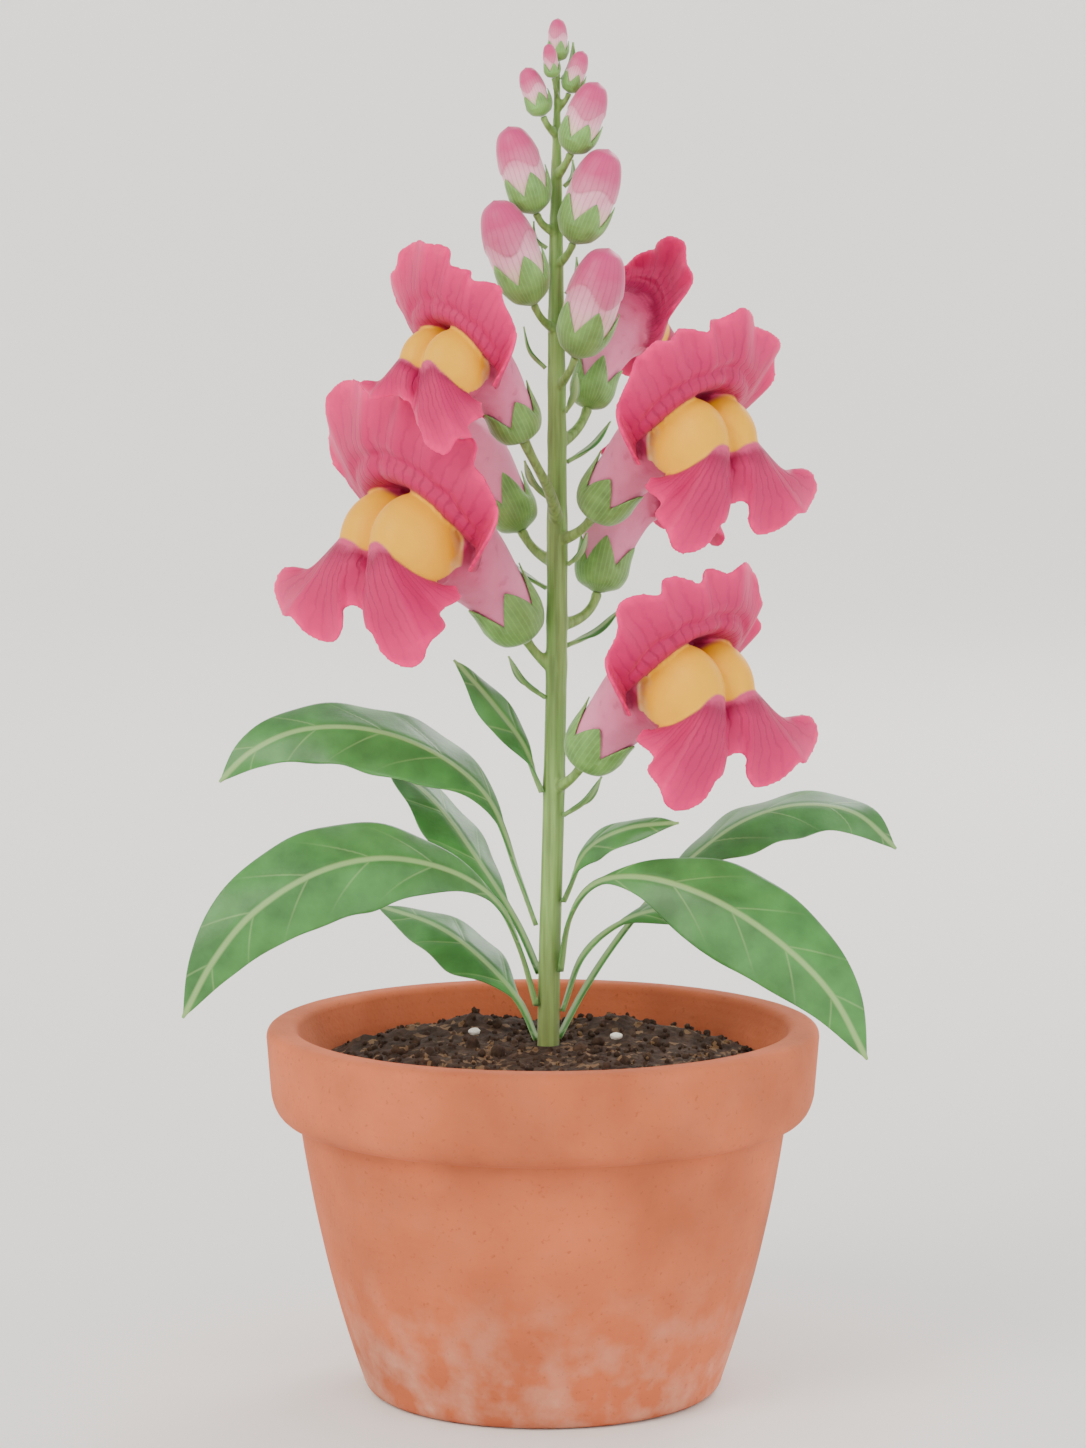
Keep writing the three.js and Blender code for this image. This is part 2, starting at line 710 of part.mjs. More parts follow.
// A cup with pointed sepals along a curve. Its inside keeps clear of the radius given by a function of
// the share; notch and tip are the shares where the cup is cut between sepals and where they end.
function calyxShape(curve, radiusAt, notch, tip, wall) {
  const floor = 0.02;
  const inside = 0.045; // share where the hollow starts
  const shares = [0.05, 0.12, notch];
  const outer = [[0, 0], [radiusAt(floor) * 0.8, 0]];
  shares.forEach((share) => outer.push([radiusAt(share) + GAP + wall, share]));
  const inner = [
    [radiusAt(notch) + GAP, notch],
    [radiusAt(0.12) + GAP, 0.12],
    [radiusAt(TUBE_LIFT) + GAP, inside],
    [0, inside],
  ];
  const rim = [[radiusAt(tip) + GAP + wall, tip], [radiusAt(tip) + GAP + 0.2 * wall, tip]];
  const profile = [...outer, ...rim, ...inner].map(([radius, share]) => new THREE.Vector2(radius, share));
  return along(new THREE.LatheGeometry(profile, TUBE_SIDES), curve, LATERAL, (spot) => {
    if (spot.y < (notch + tip) / 2) return;
    const length = sepalShare(spot.x, spot.z);
    const radius = Math.hypot(spot.x, spot.z);
    const shorter = radius - (radiusAt(tip) - radiusAt(notch)) * (1 - length);
    spot.x *= shorter / radius;
    spot.z *= shorter / radius;
    spot.y = notch + (tip - notch) * length;
  });
}

function flowerGroup(flower) {
  const group = new THREE.Group();
  group.position.set(...flower.foot);
  group.rotation.set(0, degrees(-flower.lift), degrees(flower.turn), "ZYX");
  plant.add(group);
  return group;
}

FLOWERS.forEach((flower) => {
  const group = flowerGroup(flower);
  const radiusAt = (share) => tubeRadius(share, flower);
  const cup = calyxShape(tubeCurve(flower.size), radiusAt, CALYX.notch, CALYX.tip, CALYX.wall);
  addMesh(`corolla_${flower.name}`, geometryOf(corollaShape(flower)), PETAL, group);
  addMesh(`calyx_${flower.name}`, cup, SEPAL_GREEN, group);
});

// ---------------------------------------------------------------- buds

// Share of a bud's length against its radius, as a share of its greatest.
const BUD_RADII = [
  [0, 0.25],
  [0.1, 0.62],
  [0.25, 0.9],
  [0.45, 1],
  [0.65, 0.97],
  [0.85, 0.76],
  [0.95, 0.48],
  [1, 0],
];

function budPetals(curve, radiusAt) {
  const shares = [0.06, 0.12, 0.2, 0.38, 0.6, 0.8, 0.94];
  const profile = shares.map((share) => new THREE.Vector2(radiusAt(share), share));
  profile.unshift(new THREE.Vector2(0, 0.06));
  profile.push(new THREE.Vector2(0, 1));
  return along(new THREE.LatheGeometry(profile, TUBE_SIDES), curve, LATERAL);
}

BUDS.forEach((bud) => {
  const curve = new THREE.LineCurve3(point3(bud.foot), point3(bud.top));
  const wall = Math.min(0.6, bud.radius * 0.16);
  const slim = bud.radius - wall - GAP;
  const radiusAt = (share) => slim * between(BUD_RADII, share);
  addMesh(`bud_petals_${bud.name}`, budPetals(curve, radiusAt), BUD_PETAL);
  const cup = calyxShape(curve, radiusAt, BUD_CALYX.notch, BUD_CALYX.tip, wall);
  addMesh(`bud_calyx_${bud.name}`, cup, SEPAL_GREEN);
});

export default plant;
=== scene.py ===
"""A flowering snapdragon in a clay pot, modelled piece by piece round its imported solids."""

import math
import random
from bisect import bisect_right

import bmesh
import bpy
from bpy.props import (
    FloatProperty,
    FloatVectorProperty,
    IntProperty,
    PointerProperty,
)
from mathutils import Matrix, Vector, noise
from mathutils.geometry import interpolate_bezier
from mathutils.kdtree import KDTree


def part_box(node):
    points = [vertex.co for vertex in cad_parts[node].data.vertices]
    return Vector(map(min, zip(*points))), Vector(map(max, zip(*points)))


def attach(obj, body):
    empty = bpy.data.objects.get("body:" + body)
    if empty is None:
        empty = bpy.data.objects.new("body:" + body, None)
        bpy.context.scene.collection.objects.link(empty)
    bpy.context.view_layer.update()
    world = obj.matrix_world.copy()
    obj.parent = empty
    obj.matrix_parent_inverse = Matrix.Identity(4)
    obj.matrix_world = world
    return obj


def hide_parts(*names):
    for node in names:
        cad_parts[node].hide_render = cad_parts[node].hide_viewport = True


bl_info = {
    "name": "Potted Snapdragon",
    "version": (1, 0, 0),
    "blender": (4, 5, 0),
    "location": "3D View > Sidebar > Snapdragon",
    "description": "Builds a flowering snapdragon in a clay pot, piece by piece",
    "category": "Add Mesh",
}

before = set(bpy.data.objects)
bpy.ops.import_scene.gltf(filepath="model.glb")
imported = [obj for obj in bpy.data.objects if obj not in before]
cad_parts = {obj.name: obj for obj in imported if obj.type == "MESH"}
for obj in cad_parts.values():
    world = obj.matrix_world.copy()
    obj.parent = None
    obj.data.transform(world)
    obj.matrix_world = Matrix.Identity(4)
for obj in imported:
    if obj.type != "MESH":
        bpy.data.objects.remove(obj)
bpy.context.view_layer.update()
POT_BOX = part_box("pot")

# ------------------------------------------------------------------ the plant's measures
# Tables are in millimetres and degrees, as a grower would measure them. MM turns them to metres.

MM = 0.001
TOUCH = 0.04  # the hair's breadth left where pieces grow together
ROUND = 0.975  # a true round's radius, against the corners of the solid's ten flats
UP = Vector((0, 0, 1))
LATERAL = Vector((0, 1, 0))
WAVE_TURN = 0.314  # how far apart a wave texture's bands lie at scale 1

POT = {
    "rim_bottom": 55,
    "base_radius": 33,
    "hole_radius": 6,
    "floor": 5,
    "wall_top": 48.6,  # outer radius of the wall where it meets the rim
    "wall_belly": (44.8, 27.5),  # radius and height that the wall bows out towards
    "inner_base": 33.4,
    "inner_rim": 48.8,
    "inner_rim_height": 74,
}
SOIL_EDGE = 65.2
SOIL_CROWN = 69.8
SOCKET_RADIUS = 2.5
SOCKET_FLOOR = 57.4
# Low heaps of soil: centre x, y, rise and spread.
MOUNDS = [
    (-15, 22, 3.4, 6.2),
    (15, 20, 3.4, 6.6),
    (-28, 20, 2.2, 4.6),
    (28, 18, 2.0, 5.0),
    (-37, 18, 1.6, 3.6),
    (36.5, 15, 1.4, 4.2),
    (-5.5, 29, 1.6, 4.0),
    (7, 29, 1.2, 4.0),
    (-24, -18, 2.2, 6.5),
    (12, -27, 2.4, 7.0),
    (33, -14, 1.8, 6.0),
]
# Loose white grains: node, x, y and turn.
GRAINS = [("perlite_left", -13.9, 9.5, 17), ("perlite_right", 14.7, 4.5, -11)]

STEM_LINE = [
    (0.9, 0, 58),
    (1.2, 0, 85),
    (2.0, 0, 115),
    (2.7, 0, 150),
    (2.8, 0, 190),
    (2.6, 0, 225),
    (2.8, 0, 264.2),
]
# Height above the base against radius.
STEM_RADII = [(58, 2.3), (150, 2.15), (200, 1.85), (225, 1.5), (242, 1.15), (253, 0.8), (264.2, 0.6)]
STEM_RISE = STEM_LINE[-1][2] - STEM_LINE[0][2]
STEM_FINENESS = 0.32  # spacing of the stem's mesh

# Leaf: height and turn where it leaves the stem, the way its upper side looks, greatest width, share
# of its length that is stalk, and the points that its midrib runs through.
LEAVES = {
    "leaf_lower_left_front": (78, 205, (0.4, -0.72, 0.6), 20, 0.22, [
        (-4.6, -3.5, 90.4), (-9, -6.5, 99.3), (-17, -9.5, 105.6), (-30.8, -14, 109.4),
        (-44, -18, 107.2), (-56.7, -21, 99.4), (-64.5, -22.5, 90), (-70.2, -24, 79.4)]),
    "leaf_upper_left_front": (94, 182, (0.4, -0.6, 0.7), 18.5, 0.22, [
        (-5, 1, 104.5), (-11, 2.5, 119), (-21, 4, 127.6), (-35, 5, 132.6),
        (-48.7, 5, 132.4), (-58.1, 4.5, 128.3), (-64.6, 4, 122.2)]),
    "leaf_lower_left_back": (70.5, 150, (0.3, -0.62, 0.72), 13.5, 0.16, [
        (-5, 4.5, 78), (-14, 12, 86.5), (-22, 18, 91), (-34, 27, 93.6)]),
    "leaf_upper_left_back": (84, 140, (0.5, -0.62, 0.6), 13, 0.24, [
        (-5, 6, 93), (-13, 12, 105), (-22, 20, 116), (-33, 29, 124)]),
    "leaf_small_left": (121, 205, (0.6, -0.7, 0.4), 8, 0.12, [
        (-4.2, -3.2, 131), (-9.6, -5.6, 138.6), (-17.5, -9, 148)]),
    "leaf_small_right": (99, -20, (-0.3, -0.52, 0.8), 8.5, 0.14, [
        (8.8, -4, 109.6), (16.4, -7.5, 114.3), (26.7, -11, 116)]),
    "leaf_upper_right_back": (71, 35, (-0.4, -0.42, 0.82), 18, 0.4, [
        (8.5, 7.5, 80), (17, 14, 91.4), (28, 19, 102.6), (41, 22.5, 111.8),
        (53, 25, 114.8), (64, 26, 112.8), (72.3, 26, 105.6)]),
    "leaf_upper_right_front": (85, -30, (-0.35, -0.72, 0.6), 19.5, 0.24, [
        (5.4, -5, 97), (10.6, -9, 103.8), (19.8, -14, 105.6), (32.6, -19.5, 102.4),
        (46, -24.5, 94.4), (56, -28, 84.6), (62.8, -30, 72.3)]),
    "leaf_lower_right_back": (76.5, 8, (-0.35, -0.5, 0.8), 9.5, 0.36, [
        (8, 2, 87.5), (15, 4.5, 93.4), (24, 7, 96), (35, 9.5, 94.6), (46, 11.5, 88)]),
}
LEAF_FOLD = 0.3  # how far each half droops, per mm from the midrib
LEAF_PEAK = 0.42  # share of the blade's length where it is widest
SIDE_VEIN_SPACING = 6.5
SIDE_VEIN_SLANT = 1.5  # mm along the blade for each mm away from the midrib

# Bracts at the stalks' feet: height and turn on the stem, tip and width.
BRACTS = [
    (116.5, -35, (11.6, -6.5, 124.6), 3.6),
    (140, 212, (-6.8, -5.6, 148.4), 3.6),
    (150, 35, (15.4, 7, 156.6), 3.2),
    (161.5, 152, (-9.6, 6.6, 170), 2.8),
    (166.4, -30, (8.6, -3.4, 172.6), 2.6),
    (179.5, 222, (-3.6, -6.6, 187), 2.8),
    (186.5, 32, (13.4, 6.6, 194), 2.8),
    (196.5, -45, (6.6, -4.2, 204), 2.4),
    (205, 185, (-3.8, -0.6, 213), 3),
    (219.5, 20, (6.6, 1.6, 226.6), 2.4),
    (228.5, 175, (-1.8, 0.4, 233.6), 2),
    (240.5, 25, (5.8, 1.2, 245.6), 1.8),
    (261.2, 35, (5.9, 1.9, 268.4), 2.2),
]

# Flower: height where its stalk leaves the stem, the stalk's far end, the way it looks in plan, its
# pitch above the usual, its size, the calyx's own scale, the side whose lower lobe droops, and how far
# below the usual its palate sits.
FLOWERS = {
    "left_upper": (174, (-3.7, -18, 191.6), -136, 9, 0.76, 1.06, 1, 2.2),
    "left_lower": (145, (-3.3, -1.8, 151.3), -140, 4, 1.07, 0.97, 1, 0),
    "right_upper": (171, (9.7, -7, 176), -44, -1, 0.94, 0.98, -1, 0),
    "right_lower": (121.5, (7.6, -7, 126.8), -44, 0, 1, 1, -1, 0),
    "back_right_upper": (190, (8.8, 6, 196.7), 60, 13, 0.67, 1, -1, 0),
    "back_right_lower": (154, (10.8, 6, 160.1), 48, 24, 0.72, 1.16, -1, 0),
    "back_left": (166.4, (-4.2, 6, 172.3), 144, 10, 0.76, 1, 1, 0),
}
FLOWER_FACTS = ("joint", "foot", "turn", "lift", "size", "cup", "near", "drop")

# A flower is made with its stalk's end at the origin, looking along +X, at full size.
CALYX_PITCH = 50
TUBE_LINE = [(0, 0, 0), (7.5, 0, 9), (14, 0, 15.5), (24, 0, 18.5)]
# Share of the tube's length against its radius.
TUBE_RADII = [(0, 1.4), (0.05, 3.6), (0.12, 5), (0.22, 5.7), (0.42, 6.3), (0.7, 8.3), (1, 10.8)]
TUBE_LIFT = 0.055  # share of its length that the tube starts above the calyx's floor
MOUTH_SLANT = 12.5  # how far forward the mouth's roof leans
# Degrees round the mouth from the middle of a lip to its ends.
UPPER_LIP_SPREAD = 115
LOWER_LIP_SPREAD = 108
# Shares of the way out from a lip's root.
HOOD_ROLL = 0.27
HOOD_FOLD = 0.43
LIP_SHOULDER = 0.34
# Shares of a lip's margin, from its far end at -1 to its near end at 1, where it is pinched.
UPPER_PINCHES = (-1, -0.68, -0.45, -0.05, 0.17, 0.38, 0.62, 1)
LOWER_PINCHES = (-1, -0.78, -0.52, -0.11, 0.03, 0.44, 0.66, 1)
# The hood's scalloped margin: share along it, then how far across towards the near side, and how high.
HOODS = {
    "left_upper": [
        (-1, -13, 20.5), (-0.74, -14.2, 26.3), (-0.69, -15.8, 29.4), (-0.63, -20.6, 31.2),
        (-0.57, -22.7, 34.8), (-0.5, -20.9, 37.2), (-0.43, -16.9, 39.3), (-0.37, -16.8, 42.6),
        (-0.27, -12.6, 45.3), (-0.18, -8, 45.9), (-0.09, -3.6, 44.8), (0.03, 1.2, 44.6),
        (0.12, 4.4, 42.5), (0.18, 5.6, 39.7), (0.3, 10, 38.8), (0.39, 12, 36.4), (0.46, 15.3, 36.4),
        (0.54, 18.6, 34.7), (0.67, 20.6, 29.6), (0.83, 20.4, 23.1), (0.93, 20.6, 18.1), (1, 18, 12.5),
    ],
    "left_lower": [
        (-1, -13.5, 20.5), (-0.74, -15.2, 26.6), (-0.69, -17.2, 29.8), (-0.63, -22, 31),
        (-0.56, -23.2, 34.8), (-0.48, -19.3, 37.7), (-0.41, -19.2, 42), (-0.33, -16.3, 45.2),
        (-0.24, -11.4, 46.3), (-0.15, -6.6, 45.4), (-0.1, -4.6, 44.6), (0, 0, 45.8), (0.09, 3.9, 45.3),
        (0.15, 6.2, 43.4), (0.24, 9.6, 43.2), (0.31, 12.4, 41.2), (0.37, 14.6, 40.4), (0.46, 16.8, 36.8),
        (0.5, 19.2, 37.2), (0.56, 21.1, 34.9), (0.61, 20.7, 32.2), (0.66, 22.2, 30.4),
        (0.76, 21.7, 26.2), (0.9, 21.1, 20), (1, 18.1, 14.2),
    ],
    "right_upper": [
        (-1, -14.5, 20), (-0.81, -17.4, 24.3), (-0.71, -20.4, 27.6), (-0.62, -22.3, 31.4),
        (-0.53, -21.3, 34.8), (-0.42, -17.9, 38.2), (-0.31, -12.8, 40.5), (-0.26, -10.8, 40.9),
        (-0.18, -8.7, 43.1), (-0.08, -3.9, 44.9), (-0.01, -0.6, 43.6), (0.03, 1, 42.8),
        (0.11, 4.7, 42.4), (0.17, 6.3, 40.2), (0.23, 9.3, 40.8), (0.29, 11.9, 40.9), (0.37, 15.8, 38.5),
        (0.42, 18.3, 38.6), (0.49, 19.5, 35.9), (0.54, 21, 35.1), (0.6, 22.7, 32.8), (0.68, 23.1, 29),
        (0.78, 21.5, 25.1), (0.93, 20.5, 18.7), (1, 17.7, 13.5),
    ],
    "right_lower": [
        (-1, -14, 20), (-0.82, -16.9, 24.1), (-0.67, -18.7, 28.3), (-0.54, -16.9, 31.7),
        (-0.4, -13.4, 35.2), (-0.32, -13.1, 38.3), (-0.21, -9.9, 41.1), (-0.13, -6.5, 42),
        (-0.07, -3.1, 40.8), (-0.03, -1.5, 40.2), (0.04, 1.9, 41.4), (0.12, 5, 40.3), (0.17, 6.7, 38.8),
        (0.24, 10.7, 40.3), (0.31, 14.2, 39.5), (0.37, 15.8, 37), (0.42, 19.1, 37.4), (0.49, 22.2, 36.1),
        (0.58, 23.7, 32.8), (0.67, 22.7, 29.1), (0.79, 21.2, 24.8), (0.9, 20.9, 21), (1, 17.5, 14.1),
    ],
    "back_right_upper": [
        (-1, -10, 19), (-0.75, -13.5, 25), (-0.62, -14.9, 28.6), (-0.44, -13.1, 33.3), (-0.32, -9.7, 35.3),
        (-0.22, -6.2, 35.3), (-0.14, -3.4, 34), (0.02, 0.6, 37), (0.13, 4.2, 38.6), (0.18, 7.5, 39.3),
        (0.23, 9.8, 42), (0.29, 14.7, 44.1), (0.37, 19, 41.9), (0.44, 20, 38.1), (0.55, 22.6, 34.1),
        (0.64, 22.5, 30.5), (0.74, 20.3, 26.8), (0.85, 17, 23.6), (1, 13.5, 18),
    ],
    "back_right_lower": [
        (-1, -10, 18), (-0.8, -12.5, 23), (-0.6, -13, 28), (-0.45, -10.5, 30), (-0.36, -9.8, 31.8),
        (-0.2, -5.5, 33.5), (-0.05, -1.2, 32.6), (0.1, 2.5, 33.6), (0.25, 6.5, 32.8), (0.38, 9.6, 31),
        (0.5, 12, 29.8), (0.65, 13.4, 26), (0.82, 13, 20), (1, 11, 14),
    ],
}
USUAL_HOOD = "right_lower"
# The lower lips' margin: share along it, how far forward, across towards the near side, and how high.
LOWER_LIPS = {
    "usual": [
        (-1, 37.4, -8.7, 17.2), (-0.93, 38.2, -11, 13.8), (-0.85, 39.3, -15.2, 11.1),
        (-0.76, 40, -22.4, 11.2), (-0.66, 41.2, -26, 6.8), (-0.57, 42.2, -19.8, 2.5),
        (-0.51, 42.4, -16.3, 2.6), (-0.44, 42.5, -12.8, 0.1), (-0.36, 42.4, -9, -1.3),
        (-0.28, 42.2, -5.6, -1), (-0.21, 41.9, -2.8, 1.9), (-0.16, 41.6, -3.3, 4.6),
        (-0.1, 41.3, -1, 5.7), (-0.05, 41.2, 1.8, 4.2), (0, 41.1, 3.4, 2.2), (0.05, 41, 6.4, 1),
        (0.1, 40.6, 7.2, -1.8), (0.17, 40.2, 9.6, -3.9), (0.25, 39.4, 13.2, -4.3),
        (0.33, 38.3, 16, -2.8), (0.41, 37.2, 17, -0.8), (0.5, 35, 16, 1.8), (0.6, 32.5, 13.8, 4.2),
        (0.72, 30.4, 12.6, 6.4), (0.86, 28, 12, 8.3), (1, 26, 10.6, 10.4),
    ],
    "left_upper": [
        (-1, 37.4, -9.1, 15.1), (-0.93, 39.4, -10.4, 11.4), (-0.86, 41.3, -12.5, 9.2),
        (-0.78, 42.8, -16.1, 9.1), (-0.7, 43.4, -15.9, 7.4), (-0.62, 43.8, -13.4, 5.5),
        (-0.5, 43.8, -10, 4.6), (-0.34, 43.2, -5.4, 6), (-0.2, 42.2, -1.4, 5.2), (-0.1, 41.5, 0.4, 4),
        (-0.04, 41.1, 1.6, -0.4), (0.02, 40.9, 5.4, -1.8), (0.08, 40.5, 6.9, -5.4), (0.17, 39.9, 9.4, -7.4),
        (0.25, 39.3, 11.8, -7.6), (0.36, 37.6, 13.7, -5.1), (0.46, 36.2, 14.6, -3.3), (0.54, 34.6, 15, -3),
        (0.64, 33, 13.9, -0.2), (0.76, 30.8, 13.4, 2.2), (0.88, 28.6, 12.4, 3.9), (1, 26, 10.6, 6.8),
    ],
}
# Height of the crease where the lower lip leaves the palate, from the far side at -1 to the near at 1.
PALATE_FOOT = [
    (-1, 15.6), (-0.75, 17), (-0.45, 17.6), (-0.2, 17), (-0.02, 15.6), (0.22, 17.1), (0.4, 17.4),
    (0.65, 15.4), (0.85, 12.4), (1, 9.8),
]
# A palate hump: centre as forward, out to its side and height, its three radii, and how much the one
# on the drooping side is further out and wider.
PALATE_CENTRE = (30.9, 4.5, 17.4)
PALATE_RADII = (9.4, 6.3, 9.2)
PALATE_FULLER = (0.2, 0.3)
# Calyx: shares of the tube's length at the notches and at the sepals' tips, its wall, and how far the
# tips spread.
CALYX = {"notch": 0.2, "tip": 0.46, "wall": 0.7, "flare": 0.3}

# Bud: height where its stalk leaves the stem, foot, top and greatest radius.
BUDS = {
    "right_1": (201, (6.3, -5.4, 207.2), (12.9, -9.4, 228.5), 6.5),
    "left_1": (212.5, (-1.8, -5.5, 217.5), (-9.6, -9.2, 237.7), 6.2),
    "right_2": (225, (5.9, -4, 229.4), (12.8, -7, 247.6), 5.9),
    "left_2": (231.5, (-1.3, -3.6, 235.2), (-6.8, -6, 252), 5.3),
    "right_3": (242.5, (5.4, -3.6, 246.8), (10.7, -6.4, 260.5), 4.7),
    "left_3": (250.5, (0, -2.7, 254), (-3.4, -3.2, 263.4), 3.3),
    "right_4": (255.5, (5.1, -1.5, 258.5), (7.8, -2.5, 266.6), 2.75),
    "left_4": (257.5, (2, -3.6, 261.4), (1.0, -5.4, 267.9), 2.1),
    "tip": (None, (2.8, 0, 264.6), (2.9, 0, 273), 2.7),
}
BUD_CALYX = {"notch": 0.2, "tip": 0.48, "flare": 0}
# Share of a bud's length against its radius, as a share of its greatest.
BUD_RADII = [
    (0, 0.25), (0.1, 0.62), (0.25, 0.9), (0.45, 1), (0.65, 0.97), (0.85, 0.76), (0.95, 0.48), (1, 0)
]


def to_linear(hex_colour):
    """The linear colour of an sRGB hex value."""
    channels = [int(hex_colour[i : i + 2], 16) / 255 for i in (1, 3, 5)]
    return [c / 12.92 if c <= 0.04045 else ((c + 0.055) / 1.055) ** 2.4 for c in channels]


def length_setting(name, description, default):
    """A length in metres that a user can change."""
    return FloatProperty(name=name, description=description, default=default, min=0, unit="LENGTH")


def colour_setting(name, description, hex_colour):
    """A colour that a user can change."""
    default = to_linear(hex_colour)
    return FloatVectorProperty(
        name=name, description=description, default=default, min=0, max=1, subtype="COLOR"
    )


class PotSettings(bpy.types.PropertyGroup):
    """Sizes and colour of the clay pot"""

    rim_radius: length_setting("Rim radius", "Outer radius of the rim", POT_BOX[1].x)
    height: length_setting("Height", "Height of the rim's top", POT_BOX[1].z)
    unevenness: length_setting("Unevenness", "How far the clay strays from true", 0.12 * MM)
    clay: colour_setting("Clay", "Colour of the fired clay", "#bf6540")


class SoilSettings(bpy.types.PropertyGroup):
    """The potting soil and what lies on it"""

    crumbs: IntProperty(name="Crumbs", description="Loose crumbs on the soil", default=900, min=0)
    crumb_size: length_setting("Crumb size", "Radius of a usual crumb", 0.62 * MM)
    peat: colour_setting("Peat", "Colour of the moist peat", "#3a2a20")
    grain: colour_setting("Grain", "Colour of the white grains", "#ece8de")


class LeafSettings(bpy.types.PropertyGroup):
    """Thickness and colours of leaves, bracts and stem"""

    thickness: length_setting("Thickness", "Thickness of a leaf's blade", 0.45 * MM)
    wave: length_setting("Wave", "Rise and fall of a blade's margin", 0.5 * MM)
    stem: colour_setting("Stem", "Colour of the stem and stalks", "#7fa356")
    blade: colour_setting("Blade", "Colour of the leaves", "#3f7c37")
    vein: colour_setting("Vein", "Colour of the midrib and side veins", "#93b86f")
    sepal: colour_setting("Sepal", "Colour of the sepals", "#6f9f4e")


class FlowerSettings(bpy.types.PropertyGroup):
    """Shape and colours of the flowers and buds"""

    fineness: length_setting("Fineness", "Spacing of the petals' mesh", 0.42 * MM)
    ruffle: length_setting("Ruffle", "How far a lip's margin sways to the front and back", 1.1 * MM)
    thickness: length_setting("Thickness", "Thickness of a petal", 0.95 * MM)
    petal: colour_setting("Petal", "Colour of the lips", "#bd1259")
    tube: colour_setting("Tube", "Colour of the tube", "#ea8fb1")
    palate: colour_setting("Palate", "Colour of the palate's two humps", "#f9b400")
    bud: colour_setting("Bud", "Colour of a bud's top", "#cf3f7c")
    bud_foot: colour_setting("Bud foot", "Colour of a bud near its calyx", "#dfe0b0")


class StageSettings(bpy.types.PropertyGroup):
    """Floor, light and camera"""

    floor: colour_setting("Floor", "Colour of the floor and backdrop", "#f6f4f1")
    key_power: FloatProperty(
        name="Key light", description="Power of the main light", default=14, min=0, unit="POWER"
    )
    lens: FloatProperty(
        name="Lens", description="Focal length of the camera", default=116.85, unit="CAMERA"
    )
    distance: length_setting("Distance", "How far in front of the stem the camera stands", 0.927)
    eye_height: length_setting("Eye height", "Height of the camera above the floor", 0.241)
    pitch: FloatProperty(
        name="Pitch",
        description="How far the camera looks down",
        default=math.radians(6.565),
        unit="ROTATION",
    )


class SnapdragonSettings(bpy.types.PropertyGroup):
    """All that a user would change"""

    pot: PointerProperty(type=PotSettings)
    soil: PointerProperty(type=SoilSettings)
    leaf: PointerProperty(type=LeafSettings)
    flower: PointerProperty(type=FlowerSettings)
    stage: PointerProperty(type=StageSettings)


# ------------------------------------------------------------------ numbers and lines


def clamp(value, low=0.0, high=1.0):
    """A value held between two others."""
    return min(max(value, low), high)


def mix(start, end, share):
    """A number or vector part of the way from one to another."""
    return start + (end - start) * share


def smooth(value, low=0.0, high=1.0):
    """0 below low, 1 above high, and an easy rise between them."""
    share = clamp((value - low) / (high - low))
    return share * share * (3 - 2 * share)


def bell(value, width):
    """1 at zero, falling away smoothly on both sides."""
    return math.exp(-((value / width) ** 2))


def between(stations, place):
    """A smooth number or vector at a place in a list of (place, value) stations."""
    last = len(stations) - 1
    i = 0
    while i < last - 1 and place > stations[i + 1][0]:
        i += 1

    def slope(k):
        low, high = stations[max(k - 1, 0)], stations[min(k + 1, last)]
        return (high[1] - low[1]) / (high[0] - low[0])

    span = stations[i + 1][0] - stations[i][0]
    t = clamp((place - stations[i][0]) / span)
    eased = mix(stations[i][1], stations[i + 1][1], t * t * (3 - 2 * t))
    return eased + span * t * (1 - t) * (slope(i) * (1 - t) - slope(i + 1) * t)


def heading(turn):
    """The plan direction of a turn in degrees, 0 towards +X."""
    return Vector((math.cos(math.radians(turn)), math.sin(math.radians(turn)), 0))


class Path:
    """A line through space, read by the share of its length."""

    def __init__(self, points):
        self.points = [Vector(point) for point in points]
        self.runs = [0.0]
        for start, end in zip(self.points, self.points[1:]):
            self.runs.append(self.runs[-1] + (end - start).length)

    def at(self, share):
        """The point at a share of the length."""
        run = clamp(share) * self.runs[-1]
        i = min(max(bisect_right(self.runs, run) - 1, 0), len(self.points) - 2)
        t = (run - self.runs[i]) / (self.runs[i + 1] - self.runs[i])
        return self.points[i].lerp(self.points[i + 1], t)

    def ahead(self, share):
        """The way that the line runs there."""
        near = 0.012
        return (self.at(share + near) - self.at(share - near)).normalized()

    @property
    def length(self):
        """The whole length."""
        return self.runs[-1]


def bent_line(knots, steps=24):
    """A Bezier path from its knot, two handles and knot."""
    return Path(interpolate_bezier(*[Vector(knot) for knot in knots], steps + 1))


def flowing_line(knots, steps=12):
    """A path that runs smoothly through its knots."""
    knots = [Vector(knot) for knot in knots]
    ends = [2 * knots[0] - knots[1], *knots, 2 * knots[-1] - knots[-2]]
    points = []
    for before, start, end, after in zip(ends, ends[1:], ends[2:], ends[3:]):
        a, b, c = [(q - p).length ** 0.5 for p, q in ((before, start), (start, end), (end, after))]
        leave = (start - before) / a - (end - before) / (a + b) + (end - start) / b
        arrive = (end - start) / b - (after - start) / (b + c) + (after - end) / c
        handles = (start + leave * b / 3, end - arrive * b / 3)
        points += interpolate_bezier(start, *handles, end, steps + 1)[:-1]
    return Path([*points, knots[-1]])


# ------------------------------------------------------------------ mesh helpers


